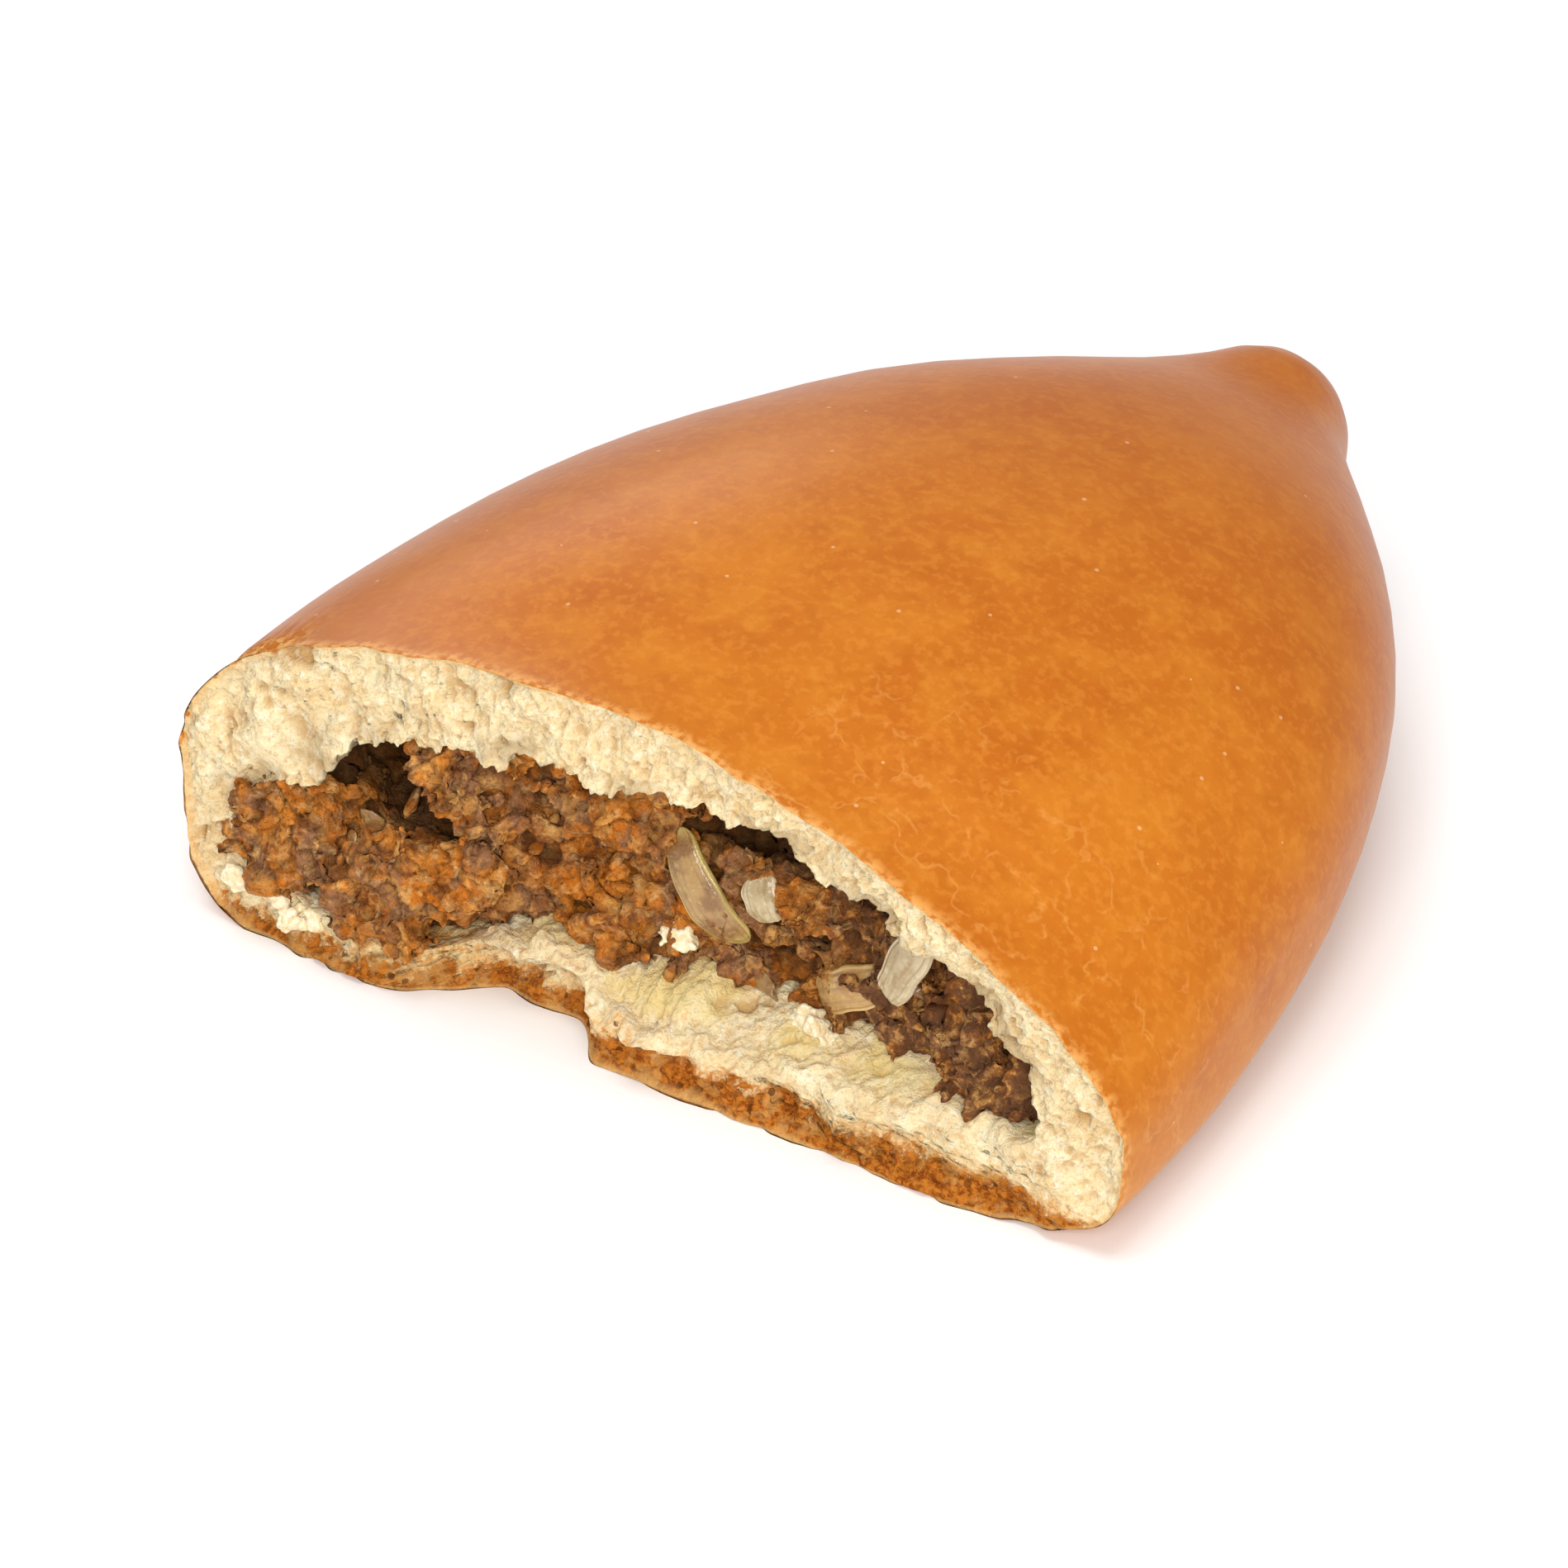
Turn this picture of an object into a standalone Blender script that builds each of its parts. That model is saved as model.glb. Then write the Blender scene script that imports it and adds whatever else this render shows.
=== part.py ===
"""Half of a baked, boat-shaped meat piroshki, torn across its middle.

The dough is a thick-walled boat with a pinched nub at its tip. Its crust is smooth, its torn
face is craggy, and its inside is filled by one body of minced meat, with three large pieces
of onion bedded in the mince. +Z is up, the base lies at z = 0, the torn face looks along -Y
and the tip points along +Y. The origin is the middle of the base of the bounding box.

Sizes are written in millimetres and turned into metres where a mesh is made.
"""

import math
import random

import bmesh
import bpy
import numpy as np

MM = 0.001

# The outer form at stations along the length: y, half width, top, underside.
OUTER_STATIONS = (
    (0.0, 36.1, 27.3, 0.0),
    (12.0, 35.2, 28.8, 0.0),
    (25.0, 32.9, 29.6, 0.0),
    (40.0, 28.3, 28.7, 0.0),
    (50.0, 23.3, 26.8, 1.7),
    (58.0, 17.3, 23.9, 4.4),
    (64.0, 11.6, 21.4, 6.9),
    (69.0, 6.6, 20.2, 9.0),
    (74.6, 5.2, 19.7, 9.6),
)
HALF_LENGTH = 74.6  # from the middle of the tear to the tip
NUB_RADIUS = 5.2
FRONT_LENGTH = 22.0  # the forms run on this far in front of the tear, where they are cut off
FRONT_ROUNDING = 8.0

# The section leans: its crown lies left of its middle, and its right side bulges lower.
MIDDLE_AT_TEAR = 0.5
MIDDLE_AT_TIP = 3.0
CROWN_AT_TEAR = -5.5  # measured from the middle, and 0 at the tip
EVEN_FROM = 50.0  # from this y on, both sides are alike
LEFT_WIDEST = 0.46  # height of the widest line, as a share of the section's height
RIGHT_WIDEST = 0.30
TIP_WIDEST = 0.44
LEFT_ROUNDNESS = 2.0  # superellipse powers
RIGHT_ROUNDNESS = 1.75
LEFT_BASE_SQUARENESS = 6.0
RIGHT_BASE_SQUARENESS = 4.2
BASE_SQUARENESS_BEHIND = 2.6
BASE_ROUNDS_OFF = (10.0, 40.0)
BASE_OVERDEPTH = 1.10  # the section is this much deeper than its base, then cut flat there

# The cavity that the filling lies in.
LEFT_WALL = 4.3
RIGHT_WALL = 5.2
ROOF_WALL = 4.8
FLOOR_WALL = 4.8
CAVITY_CROWN = 1.5
CAVITY_LENGTH = 61.0
CAVITY_END_RADIUS = 16.0
CAVITY_WIDEST = 0.16
CAVITY_ROUNDNESS = 1.8
CAVITY_FLOOR_SQUARENESS = 3.2
LEFT_FLOOR_DROP = 1.7  # the floor is thinner on the left
LEFT_FLOOR_REGION = (8.0, 18.0)
LEAST_HALF_WIDTH = 3.0
LEAST_REACH = 0.3
GAP = 0.35  # kept between neighbouring pieces

# The tear leaves a notch in the base, just left of the broken edge of the crumb.
NOTCH_DEPTH = 4.6
NOTCH_LEFT = (-17.0, -12.0)
NOTCH_RIGHT = (-6.5, -4.5)
NOTCH_TOP = (3.5, 7.0)

# The mince is almost flush on the left and set back behind a shelf of crumb on the right.
MINCE_LEFT_DEPTH = 0.8
MINCE_STEP_BACK = 4.4
STEP_REGION = (-15.0, -5.0)
MINCE_COMES_FORWARD = 2.4
FORWARD_REGION = (16.0, 28.0)
MINCE_FOOT_BACK = 1.6
FOOT_REGION = (5.0, 12.0)
# Dark hollows between the mince and the roof: x, z, reach, depth.
HOLLOWS = (
    (4.6, 18.8, 3.6, 4.6),
    (-21.5, 14.5, 2.8, 4.0),
    (-16.5, 12.6, 2.0, 2.6),
    (15.8, 17.0, 2.6, 3.4),
    (25.8, 11.8, 2.2, 2.4),
)

# Relief, as (size of one bump, height). Each kind has its own pattern number.
CRUST_SWELL = (16.0, 0.45)
CAVITY_CRAGS = (5.0, 0.9)
TEAR_CRAGS = ((7.0, 0.9), (2.6, 0.8))
MINCE_CRAGS = ((6.0, 1.2), (2.8, 0.9))
CRUST_PATTERN = 3
CAVITY_PATTERN = 11
TEAR_PATTERN = 21
MINCE_PATTERN = 31
LUMP_PATTERN = 41
TYPICAL_RADIUS = 20.0  # of a section, used to lay relief round it

# Lumps of mince, set out on a loose grid over the front of the filling.
LUMP_COLUMNS = 15
LUMP_ROWS = 5
LUMP_FIELD = (-31.0, 31.0, 4.0, 22.0)  # x from, x to, z from, z to
LUMP_RADIUS = (1.6, 3.0)
LUMP_STRETCH = ((0.8, 1.4), (0.7, 1.0), (0.55, 1.0))
LUMP_DENTS = (1.9, 0.42)
LUMP_JITTER = 0.45  # share of the grid's spacing
LUMP_SINK = 0.3  # share of the radius
LUMP_DRAW = 7

# Each large onion piece: name, x, z, how far it stands out of the mince, length, width,
# turn in the torn face in degrees, and bend in degrees.
ONION_PIECES = (
    ("onion_petal", 2.0, 12.6, 1.3, 9.6, 5.2, -52.0, 70.0),
    ("onion_chunk", 18.4, 14.2, 1.7, 7.0, 3.8, 62.0, 25.0),
    ("onion_fan", 13.0, 9.3, 1.3, 6.8, 4.4, 30.0, 50.0),
)
ONION_THICKNESS = 1.3
ONION_RIB_HEIGHT = 0.12
ONION_RIBS = 9.0
ONION_END_TAPER = 0.55
ONION_TWIST = 0.25
ONION_LENGTHWISE_CUTS = 7
ONION_CROSSWISE_CUTS = 4

RING_POINTS = 56
RINGS = 34
CAVITY_RINGS = 26
# The blocks that shape the fronts: half width, lowest z, highest z, spacing of their points.
TEAR_BLOCK = (44.0, -5.3, 34.7, 2.0)
MINCE_BLOCK = (36.0, 1.0, 27.0, 1.7)


def lattice_value(cells, pattern):
    """A fixed pseudo-random number from -1 to 1 for each whole-number cell (n, 3)."""
    mixed = (cells * np.array([12.9898, 78.233, 37.719])).sum(axis=1) + pattern * 4.137
    return 2.0 * np.modf(np.abs(np.sin(mixed) * 43758.5453))[0] - 1.0


def swell(points, size, pattern):
    """Smooth value noise from -1 to 1 at points (n, 3), with bumps of that size."""
    scaled = points / size + 100.0
    cell = np.floor(scaled)
    share = scaled - cell
    share = share * share * (3.0 - 2.0 * share)
    total = np.zeros(len(points))
    for corner in np.ndindex(2, 2, 2):
        corner = np.array(corner)
        weight = np.prod(np.where(corner == 1, share, 1.0 - share), axis=1)
        total += weight * lattice_value(cell + corner, pattern)
    return total


def ramp(value, start, end):
    """0 before start, 1 after end, and a smooth step between."""
    share = np.clip((value - start) / (end - start), 0.0, 1.0)
    return share * share * (3.0 - 2.0 * share)


def through_stations(y, column):
    """A smooth curve through one column of the outer stations (cubic Hermite)."""
    places = np.array([row[0] for row in OUTER_STATIONS])
    values = np.array([row[column] for row in OUTER_STATIONS])
    slopes = np.gradient(values, places)
    slopes[0] = 0.0
    y = np.clip(np.abs(y), places[0], places[-1])
    low = np.clip(np.searchsorted(places, y, side="right") - 1, 0, len(places) - 2)
    span = places[low + 1] - places[low]
    t = (y - places[low]) / span
    return (
        values[low] * (1 + 2 * t) * (1 - t) ** 2
        + values[low + 1] * t * t * (3 - 2 * t)
        + span * slopes[low] * t * (1 - t) ** 2
        - span * slopes[low + 1] * t * t * (1 - t)
    )


def end_closing(y, length, radius):
    """1 along the form, falling to 0 as a quarter circle at its two ends."""
    past_tip = np.clip((y - (length - radius)) / radius, 0.0, 1.0)
    past_front = np.clip((-y - (FRONT_LENGTH - FRONT_ROUNDING)) / FRONT_ROUNDING, 0.0, 1.0)
    return np.sqrt(1.0 - past_tip**2) * np.sqrt(1.0 - past_front**2)


def middle_line(y):
    """The x of the middle of the section, which sways to the right towards the tip."""
    return MIDDLE_AT_TEAR + (MIDDLE_AT_TIP - MIDDLE_AT_TEAR) * (np.clip(y, 0, None) / HALF_LENGTH) ** 2


def section_reach(angle, half_width, above, below, top_power, base_power):
    """Distance from the section's centre to its outline, a superellipse in polar form."""
    power = np.where(np.sin(angle) >= 0, top_power, base_power)
    height = np.where(np.sin(angle) >= 0, above, below)
    across = np.abs(np.cos(angle)) / half_width
    along = np.abs(np.sin(angle)) / height
    return (across**power + along**power) ** (-1.0 / power)


def outer_points(y, angle):
    """Points on the crust: a leaning superellipse section, cut flat at the base."""
    closing = np.maximum(end_closing(y, HALF_LENGTH, NUB_RADIUS), 1e-3)
    top = through_stations(y, 2)
    base = np.maximum(through_stations(y, 3), 0.0)
    lean = 1.0 - ramp(y, 0.0, EVEN_FROM)
    crown = CROWN_AT_TEAR * lean
    side = np.where(np.cos(angle) >= 0, 1.0, -1.0)
    widest = TIP_WIDEST + (np.where(side > 0, RIGHT_WIDEST, LEFT_WIDEST) - TIP_WIDEST) * lean
    roundness = LEFT_ROUNDNESS + np.where(side > 0, RIGHT_ROUNDNESS - LEFT_ROUNDNESS, 0.0) * lean
    squareness = np.where(side > 0, RIGHT_BASE_SQUARENESS, LEFT_BASE_SQUARENESS)
    squareness += (BASE_SQUARENESS_BEHIND - squareness) * ramp(y, *BASE_ROUNDS_OFF)
    centre = base + (top - base) * widest
    reach = section_reach(
        angle,
        (through_stations(y, 1) - side * crown) * closing,
        (top - centre) * closing,
        (centre - base) * closing * BASE_OVERDEPTH,
        roundness,
        squareness,
    )
    x = crown * closing + reach * np.cos(angle)
    rise = reach * np.sin(angle)
    size, height = CRUST_SWELL
    lift = 1.0 + height / TYPICAL_RADIUS * swell(np.stack([x, y, rise], axis=1), size, CRUST_PATTERN)
    underside = centre - (centre - base) * closing
    z = np.maximum(centre + rise * lift, underside)
    return np.stack([x * lift + middle_line(y), y, z], axis=1)


def cavity_points(y, angle, inset):
    """Points on the cavity's wall, or inset from it, with the crags of torn crumb."""
    closing = np.maximum(end_closing(y, CAVITY_LENGTH, CAVITY_END_RADIUS), 2e-2)
    ceiling = through_stations(y, 2) - ROOF_WALL
    floor = np.maximum(through_stations(y, 3), 0.0) + FLOOR_WALL
    centre = floor + (ceiling - floor) * CAVITY_WIDEST
    side = np.where(np.cos(angle) >= 0, 1.0, -1.0)
    wall = np.where(side > 0, RIGHT_WALL, LEFT_WALL)
    half_width = np.maximum(through_stations(y, 1) - wall, LEAST_HALF_WIDTH)
    crown = CAVITY_CROWN * (1.0 - ramp(y, 0.0, EVEN_FROM))
    reach = section_reach(
        angle,
        (half_width - side * crown) * closing,
        (ceiling - centre) * closing,
        (centre - floor) * closing,
        CAVITY_ROUNDNESS,
        CAVITY_FLOOR_SQUARENESS,
    )
    size, height = CAVITY_CRAGS
    around = np.stack([TYPICAL_RADIUS * np.cos(angle), y, TYPICAL_RADIUS * np.sin(angle)], axis=1)
    reach += height * swell(around, size, CAVITY_PATTERN) * closing - 0.5 * height
    reach = np.maximum(reach - inset, LEAST_REACH)
    x = crown * closing + reach * np.cos(angle) + middle_line(y)
    drop = LEFT_FLOOR_DROP * ramp(-x, *LEFT_FLOOR_REGION) * closing
    z = centre + reach * np.sin(angle) - drop * (np.sin(angle) < 0)
    return np.stack([x, y * (1.0 - inset / CAVITY_LENGTH), z], axis=1)


def crags(x, z, relief, pattern):
    """Relief at places on a torn face, summed over the layers of (size, height)."""
    place = np.stack([x, np.zeros_like(x), z], axis=1)
    return sum(
        height * swell(place, size, pattern + layer) for layer, (size, height) in enumerate(relief)
    )


def tear_depth(x, z):
    """The y of the torn face of the dough, with the notch in its base."""
    notch = ramp(x, *NOTCH_LEFT) * (1 - ramp(x, *NOTCH_RIGHT)) * (1 - ramp(z, *NOTCH_TOP))
    return NOTCH_DEPTH * notch + crags(x, z, TEAR_CRAGS, TEAR_PATTERN)


def mince_depth(x, z):
    """The y of the front of the mince, with its hollows."""
    step = ramp(x, *STEP_REGION)
    depth = MINCE_LEFT_DEPTH + MINCE_STEP_BACK * step
    depth += MINCE_FOOT_BACK * step * (1 - ramp(z, *FOOT_REGION))
    depth -= MINCE_COMES_FORWARD * ramp(x, *FORWARD_REGION)
    for hollow_x, hollow_z, reach, deep in HOLLOWS:
        depth += deep * np.exp(-((x - hollow_x) ** 2 + (z - hollow_z) ** 2) / reach**2)
    return depth + crags(x, z, MINCE_CRAGS, MINCE_PATTERN)


def mince_depth_at(x, z):
    """The y of the front of the mince at one place."""
    return float(mince_depth(np.array([x]), np.array([z]))[0])


def material(name, colour, roughness):
    made = bpy.data.materials.new(name)
    made.use_nodes = True
    shader = made.node_tree.nodes["Principled BSDF"]
    shader.inputs["Base Color"].default_value = (*colour, 1.0)
    shader.inputs["Roughness"].default_value = roughness
    shader.inputs["Metallic"].default_value = 0.0
    return made


def move_to(shape, places):
    for vert, place in zip(shape.verts, places):
        vert.co = place


def add_object(name, shape, collection, finish=None):
    """A named object from a bmesh in millimetres, made of triangles that face outwards."""
    bmesh.ops.triangulate(shape, faces=shape.faces)
    bmesh.ops.recalc_face_normals(shape, faces=shape.faces)
    if shape.calc_volume(signed=True) < 0:
        bmesh.ops.reverse_faces(shape, faces=shape.faces)
    bmesh.ops.scale(shape, vec=(MM, MM, MM), verts=shape.verts)
    mesh = bpy.data.meshes.new(name)
    shape.to_mesh(mesh)
    shape.free()
    made = bpy.data.objects.new(name, mesh)
    collection.objects.link(made)
    if finish:
        mesh.materials.append(finish)
    return made


def boat(name, points_at, length, rings, collection, finish=None):
    """A UV sphere with its poles along Y, drawn out over the form that points_at gives."""
    shape = bmesh.new()
    bmesh.ops.create_uvsphere(shape, u_segments=RING_POINTS, v_segments=rings, radius=1.0)
    ball = np.array([vert.co[:] for vert in shape.verts])
    pole = np.clip(ball[:, 2], -1.0, 1.0)
    share = 0.5 * pole + np.arcsin(pole) / math.pi
    y = share * np.where(share >= 0, length, FRONT_LENGTH)
    move_to(shape, points_at(y, -np.arctan2(ball[:, 1], ball[:, 0])))
    return add_object(name, shape, collection, finish)


def front_block(name, depth_at, block, collection):
    """A block in front of the food, whose back is the surface y = depth_at(x, z)."""
    half_width, low, high, pitch = block
    shape = bmesh.new()
    bmesh.ops.create_grid(
        shape,
        x_segments=round(2 * half_width / pitch),
        y_segments=round((high - low) / pitch),
        size=1.0,
    )
    back = list(shape.verts)
    sheet = np.array([vert.co[:2] for vert in back])
    x = sheet[:, 0] * half_width
    z = low + (sheet[:, 1] + 1.0) / 2.0 * (high - low)
    move_to(shape, np.stack([x, np.zeros_like(x), z], axis=1))
    front = bmesh.ops.extrude_face_region(shape, geom=shape.faces[:])
    for item in front["geom"]:
        if isinstance(item, bmesh.types.BMVert):
            item.co.y = -FRONT_LENGTH - FRONT_ROUNDING
    for vert, y in zip(back, depth_at(x, z)):
        vert.co.y = y
    return add_object(name, shape, collection)


def meat_lump(name, x, z, draw, collection):
    """A crumbled lump of mince: an icosphere, squashed, turned and deeply dented."""
    shape = bmesh.new()
    bmesh.ops.create_icosphere(shape, subdivisions=2, radius=1.0)
    radius = draw.uniform(*LUMP_RADIUS)
    stretch = np.array([draw.uniform(*limits) for limits in LUMP_STRETCH])
    y = mince_depth_at(x, z) + LUMP_SINK * radius
    turn = draw.uniform(0, math.tau)
    ball = np.array([vert.co[:] for vert in shape.verts])
    size, height = LUMP_DENTS
    dents = 1 + height * swell(ball * radius + [x, y, z], size, LUMP_PATTERN)
    ball *= dents[:, None] * stretch * radius
    across = ball[:, 0] * math.cos(turn) - ball[:, 2] * math.sin(turn)
    upward = ball[:, 0] * math.sin(turn) + ball[:, 2] * math.cos(turn)
    move_to(shape, np.stack([across + x, ball[:, 1] + y, upward + z], axis=1))
    return add_object(name, shape, collection)


def lay_meat_lumps(collection):
    """Lumps at the points of a jittered grid over the filling's front."""
    draw = random.Random(LUMP_DRAW)
    left, right, low, high = LUMP_FIELD
    wide = (right - left) / LUMP_COLUMNS
    tall = (high - low) / LUMP_ROWS
    for column in range(LUMP_COLUMNS):
        for row in range(LUMP_ROWS):
            x = left + wide * (column + 0.5 + draw.uniform(-LUMP_JITTER, LUMP_JITTER))
            z = low + tall * (row + 0.5 + draw.uniform(-LUMP_JITTER, LUMP_JITTER))
            if (x / right) ** 2 + ((z - low) / (high - low)) ** 2 < 1.0:
                meat_lump(f"lump_{column}_{row}", x, z, draw, collection)


def cut_across(shape, axis, cuts):
    """Divides the edges of a cube that run along one axis."""
    edges = [edge for edge in shape.edges if abs(edge.verts[0].co[axis] - edge.verts[1].co[axis]) > 1]
    bmesh.ops.subdivide_edges(shape, edges=edges, cuts=cuts, use_grid_fill=True)


def onion_piece(name, piece, grow, collection, finish=None):
    """A curved petal of onion: a tapered, ribbed plate bent along its length."""
    _, x, z, stand, length, width, turn, bend = piece
    shape = bmesh.new()
    bmesh.ops.create_cube(shape, size=2.0)
    cut_across(shape, 0, ONION_LENGTHWISE_CUTS)
    cut_across(shape, 1, ONION_CROSSWISE_CUTS)
    along, across, out = np.array([vert.co[:] for vert in shape.verts]).T
    taper = ONION_END_TAPER + (1 - ONION_END_TAPER) * np.sqrt(1 - 0.9 * along**2)
    ribs = ONION_RIB_HEIGHT * np.cos(across * ONION_RIBS)
    v = across * (width / 2 + grow) * taper
    out = out * (ONION_THICKNESS / 2 + grow + ribs) * taper
    bend = math.radians(bend)
    radius = length / bend
    angle = along * (bend / 2 + grow / radius)
    u = np.sin(angle) * (radius - out)
    w = radius - np.cos(angle) * (radius - out) + ONION_TWIST * v
    tilt = math.radians(turn)
    places = np.stack(
        [
            x + u * math.cos(tilt) - v * math.sin(tilt),
            mince_depth_at(x, z) - stand + w,
            z + u * math.sin(tilt) + v * math.cos(tilt),
        ],
        axis=1,
    )
    move_to(shape, places)
    return add_object(name, shape, collection, finish)


def carve(target, other):
    """Adds a Boolean that takes another object, or a whole collection, out of the target."""
    modifier = target.modifiers.new("carve", "BOOLEAN")
    modifier.operation = "DIFFERENCE"
    modifier.solver = "EXACT"
    if isinstance(other, bpy.types.Collection):
        modifier.operand_type = "COLLECTION"
        modifier.collection = other
    else:
        modifier.object = other


def shell_of(start):
    """All points joined to one point by edges."""
    shell, waiting = {start}, [start]
    while waiting:
        for edge in waiting.pop().link_edges:
            for vert in edge.verts:
                if vert not in shell:
                    shell.add(vert)
                    waiting.append(vert)
    return shell


def settle(target):
    """Applies the modifiers and keeps only the largest shell, so scraps and bubbles go."""
    graph = bpy.context.evaluated_depsgraph_get()
    result = bpy.data.meshes.new_from_object(target.evaluated_get(graph))
    target.modifiers.clear()
    shape = bmesh.new()
    shape.from_mesh(result)
    seen, largest = set(), set()
    for start in shape.verts:
        if start not in seen:
            shell = shell_of(start)
            seen |= shell
            largest = max(largest, shell, key=len)
    scraps = [vert for vert in shape.verts if vert not in largest]
    bmesh.ops.delete(shape, geom=scraps, context="VERTS")
    shape.to_mesh(target.data)
    shape.free()
    bpy.data.meshes.remove(result)


def mince_front(cutters, lumps):
    """The block in front of the filling, with the lumps of mince taken out of it."""
    block = front_block("mince_front_cutter", mince_depth, MINCE_BLOCK, cutters)
    lay_meat_lumps(lumps)
    carve(block, lumps)
    settle(block)
    for lump in list(lumps.objects):
        bpy.data.objects.remove(lump)
    return block


def stand_on_origin(pieces):
    """Moves all objects so that the origin is the middle of the base of the bounding box."""
    bpy.context.view_layer.update()
    graph = bpy.context.evaluated_depsgraph_get()
    corners = []
    for piece in pieces:
        mesh = piece.evaluated_get(graph).to_mesh()
        corners.append(np.array([vert.co[:] for vert in mesh.vertices]))
    corners = np.concatenate(corners)
    low, high = corners.min(axis=0), corners.max(axis=0)
    shift = (-(low[0] + high[0]) / 2, -(low[1] + high[1]) / 2, -low[2])
    for piece in bpy.data.objects:
        piece.location = shift


def main():
    for old in list(bpy.data.objects):
        bpy.data.objects.remove(old)
    part = bpy.data.collections.new("piroshki_half")
    cutters = bpy.data.collections.new("cutters")
    lumps = bpy.data.collections.new("meat_lumps")
    for collection in (part, cutters, lumps):
        bpy.context.scene.collection.children.link(collection)
    crust = material("crust", (0.60, 0.20, 0.035), 0.35)
    mince = material("mince", (0.30, 0.12, 0.05), 0.6)
    onion = material("onion", (0.50, 0.42, 0.22), 0.25)

    def cavity_wall(y, angle):
        return cavity_points(y, angle, 0.0)

    def filling_wall(y, angle):
        return cavity_points(y, angle, GAP)

    dough = boat("dough", outer_points, HALF_LENGTH, RINGS, part, crust)
    carve(dough, boat("cavity_cutter", cavity_wall, CAVITY_LENGTH, CAVITY_RINGS, cutters))
    carve(dough, front_block("tear_cutter", tear_depth, TEAR_BLOCK, cutters))

    filling = boat("filling", filling_wall, CAVITY_LENGTH, CAVITY_RINGS, part, mince)
    carve(filling, mince_front(cutters, lumps))
    pieces = [dough, filling]
    for piece in ONION_PIECES:
        carve(filling, onion_piece(piece[0] + "_pocket_cutter", piece, GAP, cutters))
        pieces.append(onion_piece(piece[0], piece, 0.0, part, onion))
    settle(filling)

    for cutter in cutters.objects:
        cutter.hide_render = True
        cutter.display_type = "WIRE"
    stand_on_origin(pieces)


main()
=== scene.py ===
import math

import bmesh
import bpy
import numpy as np
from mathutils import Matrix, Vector


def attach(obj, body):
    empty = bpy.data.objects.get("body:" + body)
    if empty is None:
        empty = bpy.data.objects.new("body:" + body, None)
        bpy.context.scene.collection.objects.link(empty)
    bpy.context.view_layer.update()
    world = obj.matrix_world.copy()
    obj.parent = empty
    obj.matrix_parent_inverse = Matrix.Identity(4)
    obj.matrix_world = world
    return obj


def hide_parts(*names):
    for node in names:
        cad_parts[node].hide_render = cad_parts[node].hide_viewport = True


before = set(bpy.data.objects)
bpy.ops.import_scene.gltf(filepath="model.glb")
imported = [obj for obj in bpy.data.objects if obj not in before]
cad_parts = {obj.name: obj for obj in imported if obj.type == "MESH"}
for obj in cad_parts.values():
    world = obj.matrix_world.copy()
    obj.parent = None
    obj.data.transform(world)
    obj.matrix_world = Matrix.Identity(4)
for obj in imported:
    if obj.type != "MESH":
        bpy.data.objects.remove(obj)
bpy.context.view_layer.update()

MM = 0.001
# Where the middle of the tear's base lies in the frame, in millimetres. The points below are
# measured from there, in millimetres, until they go into a mesh.
TEAR_MIDDLE = np.array([-0.518, -36.560, 0.0])

# Forms, as in the solids. Pairs are the range over which a step runs, a place is x and z, and
# relief is the size and height of its swells.

OUTER_STATIONS = (  # y, half width, top, underside
    (0.0, 36.1, 27.3, 0.0),
    (12.0, 35.2, 28.8, 0.0),
    (25.0, 32.9, 29.6, 0.0),
    (40.0, 28.3, 28.7, 0.0),
    (50.0, 23.3, 26.8, 1.7),
    (58.0, 17.3, 23.9, 4.4),
    (64.0, 11.6, 21.4, 6.9),
    (69.0, 6.6, 20.2, 9.0),
    (74.6, 5.2, 19.7, 9.6),
)
HALF_LENGTH = 74.6
NUB_RADIUS = 5.2
MIDDLE_AT_TEAR = 0.5
MIDDLE_AT_TIP = 3.0
CROWN_AT_TEAR = -5.5
EVEN_FROM = 50.0
LEFT_WIDEST = 0.46
RIGHT_WIDEST = 0.30
TIP_WIDEST = 0.44
LEFT_ROUNDNESS = 2.0
RIGHT_ROUNDNESS = 1.75
LEFT_BASE_SQUARENESS = 6.0
RIGHT_BASE_SQUARENESS = 4.2
BASE_SQUARENESS_BEHIND = 2.6
BASE_ROUNDS_OFF = (10.0, 40.0)
BASE_OVERDEPTH = 1.10

LEFT_WALL = 3.2
RIGHT_WALL = 5.2
ROOF_WALL = 4.8
FLOOR_WALL = 4.8
CAVITY_CROWN = 1.5
CAVITY_LENGTH = 61.0
CAVITY_END_RADIUS = 16.0
CAVITY_WIDEST = 0.16
CAVITY_ROUNDNESS = 1.8
CAVITY_FLOOR_SQUARENESS = 3.2
LEFT_FLOOR_DROP = 1.7
LEFT_FLOOR_REGION = (8.0, 18.0)
GAP = 0.35

NOTCH_DEPTH = 4.0
NOTCH_LEFT = (-20.0, -12.0)
NOTCH_RIGHT = (-7.5, -3.0)
NOTCH_TOP = (2.5, 6.5)

MINCE_LEFT_DEPTH = 0.8
MINCE_STEP_BACK = 4.4
STEP_REGION = (-15.0, -5.0)
MINCE_COMES_FORWARD = 2.4
FORWARD_REGION = (16.0, 28.0)
MINCE_FOOT_BACK = 0.6
FOOT_REGION = (5.0, 12.0)
HOLLOWS = (  # x, z, reach, depth
    (4.6, 18.8, 3.6, 4.6),
    (-21.5, 14.5, 2.8, 4.0),
    (-16.5, 12.6, 2.0, 2.6),
    (15.0, 16.6, 3.2, 4.4),
    (25.8, 11.8, 2.4, 3.4),
)

CRUST_SWELL = (16.0, 0.45)
CAVITY_CRAGS = (5.0, 0.9)
TEAR_CRAGS = ((7.0, 0.9), (2.6, 0.8))
MINCE_CRAGS = ((6.0, 1.2), (2.8, 0.9))
TYPICAL_RADIUS = 20.0

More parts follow.
